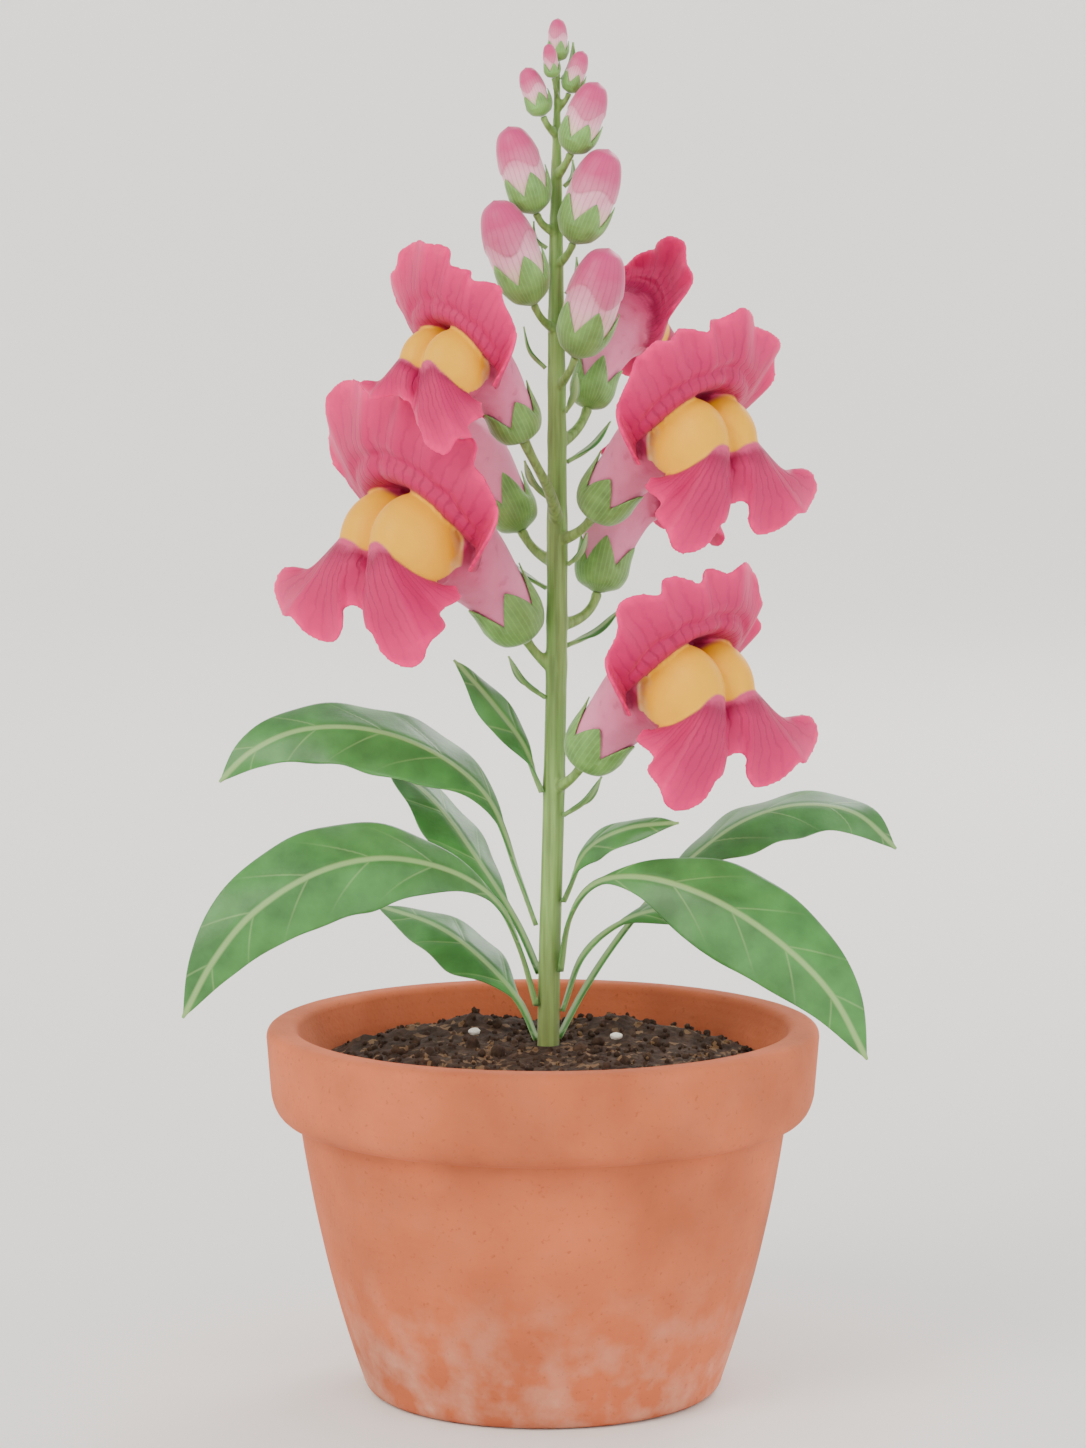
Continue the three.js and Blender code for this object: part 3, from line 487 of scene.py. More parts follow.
def turned(profile, sides, closed=False):
    """A body of revolution about Z from (radius, height) pairs."""
    bm = bmesh.new()
    points = [bm.verts.new((radius, 0, height)) for radius, height in profile]
    followers = points[1:] + (points[:1] if closed else [])
    edges = [bm.edges.new(pair) for pair in zip(points, followers)]
    bmesh.ops.spin(
        bm, geom=points + edges, axis=UP, angle=math.tau, steps=sides, use_merge=True
    )
    bmesh.ops.remove_doubles(bm, verts=bm.verts, dist=1e-4)
    bmesh.ops.recalc_face_normals(bm, faces=bm.faces)
    return bm


def rod_blank(sides, rings, low=0.0):
    """A capped rod of radius 1 about Z, from height low to 1."""
    heights = [mix(low, 1, i / rings) for i in range(rings + 1)]
    return turned([(0, low), *[(1, height) for height in heights], (0, 1)], sides)


def sheet_blank(across, along):
    """A slab from (0, 0, 0) to (1, 1, 1) whose two broad sides are grids."""
    bm = bmesh.new()
    bmesh.ops.create_grid(bm, x_segments=across, y_segments=along, size=0.5)
    grown = bmesh.ops.extrude_face_region(bm, geom=bm.faces[:])["geom"]
    top = [item for item in grown if isinstance(item, bmesh.types.BMVert)]
    bmesh.ops.translate(bm, verts=top, vec=UP)
    bmesh.ops.translate(bm, verts=bm.verts, vec=(0.5, 0.5, 0))
    return bm


def carry(bm, path, hint):
    """Carries a shape made round Z, with z from 0 to 1, along a path. Its x follows the hint."""
    for vert in bm.verts:
        ahead = path.ahead(vert.co.z)
        side = (hint - ahead * hint.dot(ahead)).normalized()
        vert.co = path.at(vert.co.z) + side * vert.co.x + ahead.cross(side) * vert.co.y
    return bm


def rod(path, radius_at, sides, rings, hint=LATERAL):
    """A capped round rod along a path."""
    bm = rod_blank(sides, rings)
    for vert in bm.verts:
        vert.co.xy *= radius_at(vert.co.z)
    return carry(bm, path, hint)


def lay_sheet(bm, surface, thickness_at):
    """Lays a sheet blank on a surface given by a function of two shares."""
    nudge = 0.004
    for vert in bm.verts:
        u, v, level = vert.co
        across = surface(u + nudge, v) - surface(u - nudge, v)
        along = surface(u, v + nudge) - surface(u, v - nudge)
        normal = along.cross(across).normalized()
        vert.co = surface(u, v) + normal * (level - 0.5) * thickness_at(u, v)
    bmesh.ops.recalc_face_normals(bm, faces=bm.faces)
    return bm


def gathered(parts):
    """One bmesh of several, which are used up."""
    whole = bmesh.new()
    for part in parts:
        mesh = bpy.data.meshes.new("part")
        part.to_mesh(mesh)
        part.free()
        whole.from_mesh(mesh)
        bpy.data.meshes.remove(mesh)
    return whole


def grown_together(parts, fineness, smoothing):
    """The skin round overlapping closed parts, as one closed body. fineness is the spacing of its
    mesh, and smoothing the number of times that its joins are softened."""
    bm = gathered(parts)
    mesh = bpy.data.meshes.new("parts")
    bm.to_mesh(mesh)
    bm.free()
    holder = bpy.data.objects.new("parts", mesh)
    bpy.context.scene.collection.objects.link(holder)
    remesh = holder.modifiers.new("skin", "REMESH")
    remesh.mode = "VOXEL"
    remesh.voxel_size = fineness
    ease = holder.modifiers.new("ease", "SMOOTH")
    ease.factor = 0.5
    ease.iterations = smoothing
    evaluated = holder.evaluated_get(bpy.context.evaluated_depsgraph_get())
    skin = bmesh.new()
    skin.from_mesh(evaluated.data)
    bpy.data.objects.remove(holder)
    bpy.data.meshes.remove(mesh)
    return skin


def mark(bm, name, value_at):
    """Keeps a vector for each vertex, worked out from its place, for the material to read."""
    layer = bm.verts.layers.float_vector.new(name)
    for vert in bm.verts:
        vert[layer] = value_at(vert.co)


def finish_piece(bm, name, material, slot, *nodes, place=None):
    """Makes the object, in metres, hangs it on the plant and hides the solids that it stands for."""
    if place is not None:
        bmesh.ops.transform(bm, matrix=place, verts=bm.verts)
    bmesh.ops.scale(bm, vec=(MM, MM, MM), verts=bm.verts)
    mesh = bpy.data.meshes.new(name)
    bm.to_mesh(mesh)
    bm.free()
    mesh.shade_smooth()
    mesh.materials.append(material)
    piece = bpy.data.objects.new(name, mesh)
    bpy.context.scene.collection.objects.link(piece)
    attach(piece, "root")
    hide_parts(*nodes)
    return piece


# ------------------------------------------------------------------ materials

# Sockets of a Mix node that mixes colours: its share, its two colours, and the colour it gives.
SHARE, UNDER, OVER, MIXED = 0, 6, 7, 2


def output_of(node):
    """The socket that carries what a node works out."""
    return node.outputs[MIXED if node.bl_idname == "ShaderNodeMix" else 0]


def add(tree, kind, links=None, stops=None, **settings):
    """Adds a node with its settings, and its inputs as values, nodes or sockets."""
    node = tree.nodes.new(kind)
    for name, value in settings.items():
        setattr(node, name, value)
    for name, source in (links or {}).items():
        if isinstance(source, bpy.types.Node):
            source = output_of(source)
        if isinstance(source, bpy.types.NodeSocket):
            tree.links.new(source, node.inputs[name])
        else:
            node.inputs[name].default_value = source
    if stops:
        ramp = node.color_ramp
        while len(ramp.elements) < len(stops):
            ramp.elements.new(1)
        for element, (position, colour) in zip(ramp.elements, stops):
            element.position = position
            element.color = colour
    return node


def start_material(name, shader_values):
    """A material, its tree, and its shader with the values that are the same all over."""
    material = bpy.data.materials.new(name)
    material.use_nodes = True
    tree = material.node_tree
    tree.nodes.clear()
    shader = add(tree, "ShaderNodeBsdfPrincipled", shader_values)
    add(tree, "ShaderNodeOutputMaterial", {"Surface": shader})
    return material, tree, shader


def dress(tree, shader, colour, relief=None):
    """Gives a shader its colour and its relief, each from the node that works it out."""
    tree.links.new(output_of(colour), shader.inputs["Base Color"])
    if relief:
        tree.links.new(output_of(relief), shader.inputs["Normal"])


def every(millimetres):
    """The texture scale that gives features of a size in millimetres."""
    return 1 / (millimetres * MM)


def solid(colour):
    """A linear colour with its opacity, as nodes take it."""
    return (*colour, 1)


def shade(colour, factor):
    """A colour made darker by a factor under 1, or lighter by one above it."""
    return (*[clamp(channel * factor) for channel in colour], 1)


def terracotta(settings):
    """Fired red clay, thrown and left unglazed: chalky and cloudy, with fine grog, faint turning
    rings and a pale bloom of salts low on the wall."""
    material, tree, shader = start_material(
        "unglazed_terracotta", {"Roughness": 0.88, "Specular IOR Level": 0.3}
    )
    clay = settings.clay
    place = add(tree, "ShaderNodeTexCoord").outputs["Object"]
    cloud = add(tree, "ShaderNodeTexNoise", {"Vector": place, "Scale": every(26), "Detail": 6})
    tones = add(
        tree,
        "ShaderNodeValToRGB",
        {"Fac": cloud},
        stops=[(0.3, shade(clay, 0.78)), (0.52, solid(clay)), (0.72, shade(clay, 1.2))],
    )
    grog = add(tree, "ShaderNodeTexNoise", {"Vector": place, "Scale": every(0.9), "Detail": 3})
    speck = add(
        tree, "ShaderNodeMapRange", {"Value": grog, "From Min": 0.62, "From Max": 0.74, "To Max": 0.55}
    )
    specked = add(
        tree, "ShaderNodeMix", {SHARE: speck, UNDER: tones, OVER: shade(clay, 0.55)}, data_type="RGBA"
    )
    # Salts creep up from the foot in ragged clouds, and lie very thinly over the rest.
    height = add(tree, "ShaderNodeSeparateXYZ", {0: place}).outputs["Z"]
    foot = add(
        tree, "ShaderNodeMapRange", {"Value": height, "From Min": 32 * MM, "From Max": 2 * MM}
    )
    patches = add(tree, "ShaderNodeTexNoise", {"Vector": place, "Scale": every(8), "Detail": 9})
    ragged = add(
        tree,
        "ShaderNodeMapRange",
        {"Value": patches, "From Min": 0.42, "From Max": 0.85, "To Max": 0.62},
    )
    low_salt = add(tree, "ShaderNodeMath", {0: foot, 1: ragged}, operation="MULTIPLY")
    thin_salt = add(tree, "ShaderNodeMath", {0: ragged, 1: 0.05}, operation="MULTIPLY")
    salt = add(tree, "ShaderNodeMath", {0: low_salt, 1: thin_salt}, operation="MAXIMUM")
    pale = solid(to_linear("#e3c3ad"))
    bloomed = add(
        tree, "ShaderNodeMix", {SHARE: salt, UNDER: specked, OVER: pale}, data_type="RGBA"
    )
    rings = add(
        tree,
        "ShaderNodeTexWave",
        {"Vector": place, "Scale": WAVE_TURN * every(1.9), "Distortion": 1.2, "Detail": 2},
        bands_direction="Z",
    )
    ring_relief = add(
        tree,
        "ShaderNodeBump",
        {"Height": rings.outputs["Fac"], "Strength": 0.25, "Distance": 0.08 * MM},
    )
    grit_relief = add(
        tree,
        "ShaderNodeBump",
        {"Height": grog, "Strength": 0.6, "Distance": 0.16 * MM, "Normal": ring_relief},
    )
    dress(tree, shader, bloomed, grit_relief)
    return material


def moist_peat(settings):
    """Screened peat and bark mix, watered: near black brown, crumbly, with paler bark flecks."""
    material, tree, shader = start_material(
        "moist_peat_mix", {"Roughness": 0.94, "Specular IOR Level": 0.25}
    )
    peat = settings.peat
    place = add(tree, "ShaderNodeTexCoord").outputs["Object"]
    crumb = add(
        tree,
        "ShaderNodeTexNoise",
        {"Vector": place, "Scale": every(2.4), "Detail": 8, "Roughness": 0.7},
    )
    tones = add(
        tree,
        "ShaderNodeValToRGB",
        {"Fac": crumb},
        stops=[(0.32, shade(peat, 0.42)), (0.5, solid(peat)), (0.7, shade(peat, 2.2))],
    )
    bark = add(tree, "ShaderNodeTexVoronoi", {"Vector": place, "Scale": every(1.5)})
    cell = add(tree, "ShaderNodeSeparateColor", {0: bark.outputs["Color"]})
    chosen = add(tree, "ShaderNodeMapRange", {"Value": cell, "From Min": 0.86, "From Max": 0.94})
    fleck = add(tree, "ShaderNodeMath", {0: chosen, 1: 0.6}, operation="MULTIPLY")
    brown = solid(to_linear("#8a6a4b"))
    flecked = add(
        tree, "ShaderNodeMix", {SHARE: fleck, UNDER: tones, OVER: brown}, data_type="RGBA"
    )
    relief = add(
        tree, "ShaderNodeBump", {"Height": crumb, "Strength": 0.9, "Distance": 0.5 * MM}
    )
    dress(tree, shader, flecked, relief)
    return material


def expanded_perlite(settings):
    """Volcanic glass popped by heat: chalk white, full of pores, with painted shade in them."""
    material, tree, shader = start_material("expanded_perlite", {"Roughness": 0.8})
    white = settings.grain
    place = add(tree, "ShaderNodeTexCoord").outputs["Object"]
    pores = add(tree, "ShaderNodeTexVoronoi", {"Vector": place, "Scale": every(0.32)})
    depth = pores.outputs["Distance"]
    # The pits are painted darker grey: painted shade in the pores of the white glass.
    tones = add(
        tree,
        "ShaderNodeValToRGB",
        {"Fac": depth},
        stops=[(0.05, shade(white, 0.62)), (0.35, solid(white))],
    )
    relief = add(
        tree, "ShaderNodeBump", {"Height": depth, "Strength": 0.8, "Distance": 0.1 * MM}
    )
    dress(tree, shader, tones, relief)
    return material


def fleshy_stem(settings):
    """Living stem tissue: waxy light green with long darker streaks and a faint down of hairs."""
    material, tree, shader = start_material(
        "fleshy_green_stem",
        {
            "Roughness": 0.48,
            "Specular IOR Level": 0.4,
            "Sheen Weight": 0.25,
            "Sheen Roughness": 0.4,
            "Subsurface Weight": 0.12,
            "Subsurface Radius": (0.6, 1.0, 0.3),
            "Subsurface Scale": 1.2 * MM,
        },
    )
    stem = settings.stem
    place = add(tree, "ShaderNodeTexCoord").outputs["Object"]
    drawn = add(tree, "ShaderNodeMapping", {"Vector": place, "Scale": (1, 1, 0.06)})
    streak = add(tree, "ShaderNodeTexNoise", {"Vector": drawn, "Scale": every(0.9), "Detail": 4})
    tones = add(
        tree,
        "ShaderNodeValToRGB",
        {"Fac": streak},
        stops=[(0.34, shade(stem, 0.7)), (0.52, solid(stem)), (0.7, shade(stem, 1.28))],
    )
    # The foot of the stem is darker and a little ruddy where it has ripened.
    height = add(tree, "ShaderNodeSeparateXYZ", {0: place}).outputs["Z"]
    ripe = add(
        tree,
        "ShaderNodeMapRange",
        {"Value": height, "From Min": 96 * MM, "From Max": 66 * MM, "To Max": 0.6},
    )
    ruddy = solid(to_linear("#6f6a3c"))
    ripened = add(
        tree, "ShaderNodeMix", {SHARE: ripe, UNDER: tones, OVER: ruddy}, data_type="RGBA"
    )
    relief = add(
        tree, "ShaderNodeBump", {"Height": streak, "Strength": 0.5, "Distance": 0.15 * MM}
    )
    dress(tree, shader, ripened, relief)
    return material


def waxy_leaf(settings):
    """A leaf's skin: mid green with a soft waxy gloss, paler beneath, with pale sunken veins.
    Its attribute holds millimetres from the midrib, millimetres along it, and the side of the leaf."""
    material, tree, shader = start_material(
        "waxy_leaf",
        {
            "Roughness": 0.42,
            "Specular IOR Level": 0.45,
            "Sheen Weight": 0.12,
            "Subsurface Weight": 0.1,
            "Subsurface Radius": (0.4, 1.0, 0.2),
            "Subsurface Scale": 0.8 * MM,
        },
    )
    leaf = settings.blade
    place = add(tree, "ShaderNodeTexCoord").outputs["Object"]
    blade = add(tree, "ShaderNodeAttribute", attribute_name="blade").outputs["Vector"]
    spot = add(tree, "ShaderNodeSeparateXYZ", {0: blade})
    across = add(tree, "ShaderNodeMath", {0: spot.outputs["X"]}, operation="ABSOLUTE")
    # Broad mottling above, and a paler green beneath.
    cloud = add(tree, "ShaderNodeTexNoise", {"Vector": place, "Scale": every(7), "Detail": 6})
    tones = add(
        tree,
        "ShaderNodeValToRGB",
        {"Fac": cloud},
        stops=[(0.3, shade(leaf, 0.68)), (0.5, solid(leaf)), (0.72, shade(leaf, 1.35))],
    )
    under = add(
        tree,
        "ShaderNodeMapRange",
        {"Value": spot.outputs["Z"], "From Min": 0.6, "From Max": 0.4, "To Max": 0.55},
    )
    paler = solid(to_linear("#86ab68"))
    sided = add(
        tree, "ShaderNodeMix", {SHARE: under, UNDER: tones, OVER: paler}, data_type="RGBA"
    )
    midrib = add(tree, "ShaderNodeMapRange", {"Value": across, "From Min": 0.75, "From Max": 0.3})
    # Side veins leave the midrib forwards: their phase is the same along a slanted line.
    lag = add(tree, "ShaderNodeMath", {0: across, 1: -SIDE_VEIN_SLANT}, operation="MULTIPLY")
    phase = add(tree, "ShaderNodeMath", {0: spot.outputs["Y"], 1: lag}, operation="ADD")
    turns = add(tree, "ShaderNodeMath", {0: phase, 1: SIDE_VEIN_SPACING}, operation="PINGPONG")
    side_vein = add(
        tree, "ShaderNodeMapRange", {"Value": turns, "From Min": 0.5, "From Max": 0.1, "To Max": 0.42}
    )
    inner = add(tree, "ShaderNodeMapRange", {"Value": across, "From Min": 8.5, "From Max": 3})
    faded = add(tree, "ShaderNodeMath", {0: side_vein, 1: inner}, operation="MULTIPLY")
    veins = add(tree, "ShaderNodeMath", {0: midrib, 1: faded}, operation="MAXIMUM")
    amount = add(tree, "ShaderNodeMath", {0: veins, 1: 0.8}, operation="MULTIPLY")
    veined = add(
        tree,
        "ShaderNodeMix",
        {SHARE: amount, UNDER: sided, OVER: solid(settings.vein)},
        data_type="RGBA",
    )
    # Cell relief is 0.8 mm across, coarser than life, so that it shows.
    cells = add(tree, "ShaderNodeTexVoronoi", {"Vector": place, "Scale": every(0.8)})
    skin = add(
        tree,
        "ShaderNodeBump",
        {"Height": cells.outputs["Distance"], "Strength": 0.18, "Distance": 0.1 * MM},
    )
    sunk = add(
        tree,
        "ShaderNodeBump",
        {"Height": veins, "Strength": 0.5, "Distance": 0.15 * MM, "Normal": skin},
        invert=True,
    )
    dress(tree, shader, veined, sunk)
    return material


def downy_sepal(settings):
    """A sepal's skin: soft light green, downy, with fine ribs that run to its tip.
    Its attribute holds the turn round the cup, the share along it and the side of the sepal."""
    material, tree, shader = start_material(
        "downy_sepal",
        {
            "Roughness": 0.55,
            "Sheen Weight": 0.35,
            "Sheen Roughness": 0.35,
            "Subsurface Weight": 0.1,
            "Subsurface Radius": (0.4, 1.0, 0.2),
            "Subsurface Scale": 0.8 * MM,
        },
    )
    green = settings.sepal
    place = add(tree, "ShaderNodeTexCoord").outputs["Object"]
    cup = add(tree, "ShaderNodeAttribute", attribute_name="cup").outputs["Vector"]
    turn = add(tree, "ShaderNodeSeparateXYZ", {0: cup}).outputs["X"]
    cloud = add(tree, "ShaderNodeTexNoise", {"Vector": place, "Scale": every(3), "Detail": 5})
    tones = add(
        tree,
        "ShaderNodeValToRGB",
        {"Fac": cloud},
        stops=[(0.3, shade(green, 0.72)), (0.52, solid(green)), (0.72, shade(green, 1.3))],
    )
    # Forty fine ribs, eight to a sepal.
    turns = add(tree, "ShaderNodeMath", {0: turn, 1: 40}, operation="MULTIPLY")
    wave = add(tree, "ShaderNodeMath", {0: turns}, operation="SINE")
    rib = add(
        tree, "ShaderNodeMapRange", {"Value": wave, "From Min": 0.5, "From Max": 1.0, "To Max": 0.4}
    )
    ribbed = add(
        tree, "ShaderNodeMix", {SHARE: rib, UNDER: tones, OVER: shade(green, 1.7)}, data_type="RGBA"
    )
    relief = add(
        tree, "ShaderNodeBump", {"Height": rib, "Strength": 0.5, "Distance": 0.12 * MM}
    )
    dress(tree, shader, ribbed, relief)
    return material


def velvet_petal(settings):
    """Petal skin: its cone-shaped cells give a velvet bloom. The lips are deep rose with darker veins,
    a lighter margin and painted shade in the throat; the tube is pale, and the palate yellow with a
    cream border. One attribute holds the place in the flower, the other the palate's share, the way
    round and the way out."""
    material, tree, shader = start_material(
        "velvet_petal",
        {
            "Roughness": 0.52,
            "Specular IOR Level": 0.28,
            "Sheen Weight": 0.16,
            "Sheen Roughness": 0.35,
            "Sheen Tint": solid(to_linear("#ffa6c9")),
            "Subsurface Weight": 0.12,
            "Subsurface Radius": (1.0, 0.3, 0.4),
            "Subsurface Scale": 1.2 * MM,
        },
    )
    petal, tube, palate = settings.petal, settings.tube, settings.palate
    bloom = add(tree, "ShaderNodeAttribute", attribute_name="bloom").outputs["Vector"]
    note = add(tree, "ShaderNodeAttribute", attribute_name="petal").outputs["Vector"]
    part = add(tree, "ShaderNodeSeparateXYZ", {0: note})
    mottle = add(tree, "ShaderNodeTexNoise", {"Vector": bloom, "Scale": 0.3, "Detail": 5})
    stray = add(
        tree,
        "ShaderNodeMapRange",
        {"Value": mottle, "From Min": 0.3, "From Max": 0.7, "To Min": -1.0, "To Max": 1.0},
    )
    # The tube is pale and flushes towards the mouth, with a ragged border.
    run = add(tree, "ShaderNodeSeparateXYZ", {0: bloom}).outputs["X"]
    wander = add(tree, "ShaderNodeMath", {0: stray, 1: 1.5}, operation="MULTIPLY")
    reach = add(tree, "ShaderNodeMath", {0: run, 1: wander}, operation="ADD")
    flush = add(
        tree, "ShaderNodeMapRange", {"Value": reach, "From Min": 6, "From Max": 25, "To Max": 0.85}
    )
    flushed = add(
        tree,
        "ShaderNodeMix",
        {SHARE: flush, UNDER: solid(tube), OVER: solid(petal)},
        data_type="RGBA",
    )
    # The lips: painted shade darkens them in the throat, then deep rose over the lobes and lighter at the
    # frilled margin.
    outward = add(tree, "ShaderNodeMath", {0: stray, 1: 0.05}, operation="MULTIPLY")
    out = add(tree, "ShaderNodeMath", {0: part.outputs["Z"], 1: outward}, operation="ADD")
    lobes = add(
        tree,
        "ShaderNodeValToRGB",
        {"Fac": out},
        stops=[
            # Painted shade: this darkest stop stands in for the shadow deep in the throat.
            (0.08, shade(petal, 0.5)),
            (0.28, shade(petal, 0.92)),
            (0.62, solid(petal)),
            (0.9, shade(petal, 1.32)),
            (1.0, shade(petal, 1.7)),
        ],
    )
    on_lip = add(tree, "ShaderNodeMapRange", {"Value": out, "From Min": 0.03, "From Max": 0.14})
    body = add(
        tree, "ShaderNodeMix", {SHARE: on_lip, UNDER: flushed, OVER: lobes}, data_type="RGBA"
    )
    # Veins run out from the throat, 1.5 mm apart there and 3 mm further out, and fade towards the margin.
    many = add(tree, "ShaderNodeMath", {0: part.outputs["Y"], 1: 95}, operation="MULTIPLY")
    drift = add(tree, "ShaderNodeMath", {0: stray, 1: 1.6}, operation="MULTIPLY")
    shifted = add(tree, "ShaderNodeMath", {0: many, 1: drift}, operation="ADD")
    wave = add(tree, "ShaderNodeMath", {0: shifted}, operation="SINE")
    line = add(tree, "ShaderNodeMapRange", {"Value": wave, "From Min": 0.55, "From Max": 1.0})
    fade = add(tree, "ShaderNodeMapRange", {"Value": out, "From Min": 1.0, "From Max": 0.35})
    vein = add(tree, "ShaderNodeMath", {0: line, 1: fade}, operation="MULTIPLY")
    on_lips = add(tree, "ShaderNodeMath", {0: vein, 1: on_lip}, operation="MULTIPLY")
    vein_amount = add(tree, "ShaderNodeMath", {0: on_lips, 1: 0.45}, operation="MULTIPLY")
    veined = add(
        tree,
        "ShaderNodeMix",
        {SHARE: vein_amount, UNDER: body, OVER: shade(petal, 0.42)},
        data_type="RGBA",
    )
    # The palate: deep yellow on the crowns of its humps, cream where they run back into the throat.
    fringe = add(tree, "ShaderNodeMath", {0: stray, 1: 2.0}, operation="MULTIPLY")
    forward = add(tree, "ShaderNodeMath", {0: run, 1: fringe}, operation="ADD")
    crown = add(tree, "ShaderNodeMapRange", {"Value": forward, "From Min": 18, "From Max": 42})
    humps = add(
        tree,
        "ShaderNodeValToRGB",
        {"Fac": crown},
        stops=[
            (0.0, solid(tube)),
            (0.16, solid(to_linear("#f8d9a4"))),
            (0.42, solid(palate)),
            (0.95, shade(palate, 0.85)),
        ],
    )
    on_palate = add(
        tree, "ShaderNodeMapRange", {"Value": part.outputs["X"], "From Min": 0.1, "From Max": 0.9}
    )
    crowned = add(
        tree, "ShaderNodeMix", {SHARE: on_palate, UNDER: veined, OVER: humps}, data_type="RGBA"
    )
    # The velvet's cones are 0.5 mm across, coarser than life, so that they show.
    velvet = add(tree, "ShaderNodeTexNoise", {"Vector": bloom, "Scale": 2.0, "Detail": 3})
    down = add(
        tree, "ShaderNodeBump", {"Height": velvet, "Strength": 0.25, "Distance": 0.12 * MM}
    )
    ribs = add(
        tree,
        "ShaderNodeBump",
        {"Height": on_lips, "Strength": 0.5, "Distance": 0.15 * MM, "Normal": down},
        invert=True,
    )
    dress(tree, shader, crowned, ribs)
    return material


def silky_bud(settings):
    """Bud skin: smooth and silky, pink at the top and pale green at the foot, with fine veins.
    Its attribute holds the turn round the bud, the share along it and how far the cap covers it."""
    material, tree, shader = start_material(
        "silky_bud",
        {
            "Roughness": 0.42,
            "Specular IOR Level": 0.35,
            "Sheen Weight": 0.3,
            "Sheen Roughness": 0.35,
            "Subsurface Weight": 0.2,
            "Subsurface Radius": (1.0, 0.4, 0.4),
            "Subsurface Scale": 1.4 * MM,
        },
    )
    bud = settings.bud
    fold = add(tree, "ShaderNodeAttribute", attribute_name="fold").outputs["Vector"]
    spot = add(tree, "ShaderNodeSeparateXYZ", {0: fold})
    place = add(tree, "ShaderNodeTexCoord").outputs["Object"]
    cloud = add(tree, "ShaderNodeTexNoise", {"Vector": place, "Scale": every(4), "Detail": 4})
    stray = add(tree, "ShaderNodeMath", {0: cloud, 1: 0.3}, operation="MULTIPLY")
    rise = add(tree, "ShaderNodeMath", {0: spot.outputs["Y"], 1: stray}, operation="ADD")
    tones = add(
        tree,
        "ShaderNodeValToRGB",
        {"Fac": rise},
        stops=[
            (0.34, solid(settings.bud_foot)),
            (0.62, solid(to_linear("#f0b3c4"))),
            (0.95, solid(bud)),
        ],
    )
    cap = add(tree, "ShaderNodeMath", {0: spot.outputs["Z"], 1: 0.5}, operation="MULTIPLY")
    capped = add(
        tree, "ShaderNodeMix", {SHARE: cap, UNDER: tones, OVER: shade(bud, 0.85)}, data_type="RGBA"
    )
    # Twenty-six veins run up the bud and wander a little.
    turns = add(tree, "ShaderNodeMath", {0: spot.outputs["X"], 1: 26}, operation="MULTIPLY")
    wandering = add(tree, "ShaderNodeMath", {0: cloud, 1: 5}, operation="MULTIPLY")
    shifted = add(tree, "ShaderNodeMath", {0: turns, 1: wandering}, operation="ADD")
    wave = add(tree, "ShaderNodeMath", {0: shifted}, operation="SINE")
    vein = add(
        tree, "ShaderNodeMapRange", {"Value": wave, "From Min": 0.5, "From Max": 1.0, "To Max": 0.3}
    )
    veined = add(
        tree, "ShaderNodeMix", {SHARE: vein, UNDER: capped, OVER: shade(bud, 0.62)}, data_type="RGBA"
    )
    relief = add(
        tree, "ShaderNodeBump", {"Height": vein, "Strength": 0.4, "Distance": 0.1 * MM}
    )
    dress(tree, shader, veined, relief)
    return material


def studio_paper(colour):
    """Matt background paper: plain and pale, with the faintest cloudiness."""
    material, tree, shader = start_material("studio_paper", {"Roughness": 0.95})
    place = add(tree, "ShaderNodeTexCoord").outputs["Object"]
    cloud = add(tree, "ShaderNodeTexNoise", {"Vector": place, "Scale": every(400), "Detail": 2})
    tones = add(
        tree,
        "ShaderNodeValToRGB",
        {"Fac": cloud},
        stops=[(0.3, shade(colour, 0.985)), (0.7, solid(colour))],
    )
    dress(tree, shader, tones)
    return material


# ------------------------------------------------------------------ pot and soil


def inner_radius(height):
    """The pot's inner radius at a height."""
    slope = (POT["inner_rim"] - POT["inner_base"]) / (POT["inner_rim_height"] - POT["floor"])
    return POT["inner_base"] + slope * (height - POT["floor"])


def bent_profile(start, handle, end, steps):
    """Points on the round stretch of an outline, after its start."""
    points = []
    for i in range(1, steps + 1):
        t = i / steps
        first = [mix(a, b, t) for a, b in zip(start, handle)]
        second = [mix(a, b, t) for a, b in zip(handle, end)]
        points.append(tuple(mix(a, b, t) for a, b in zip(first, second)))
    return points


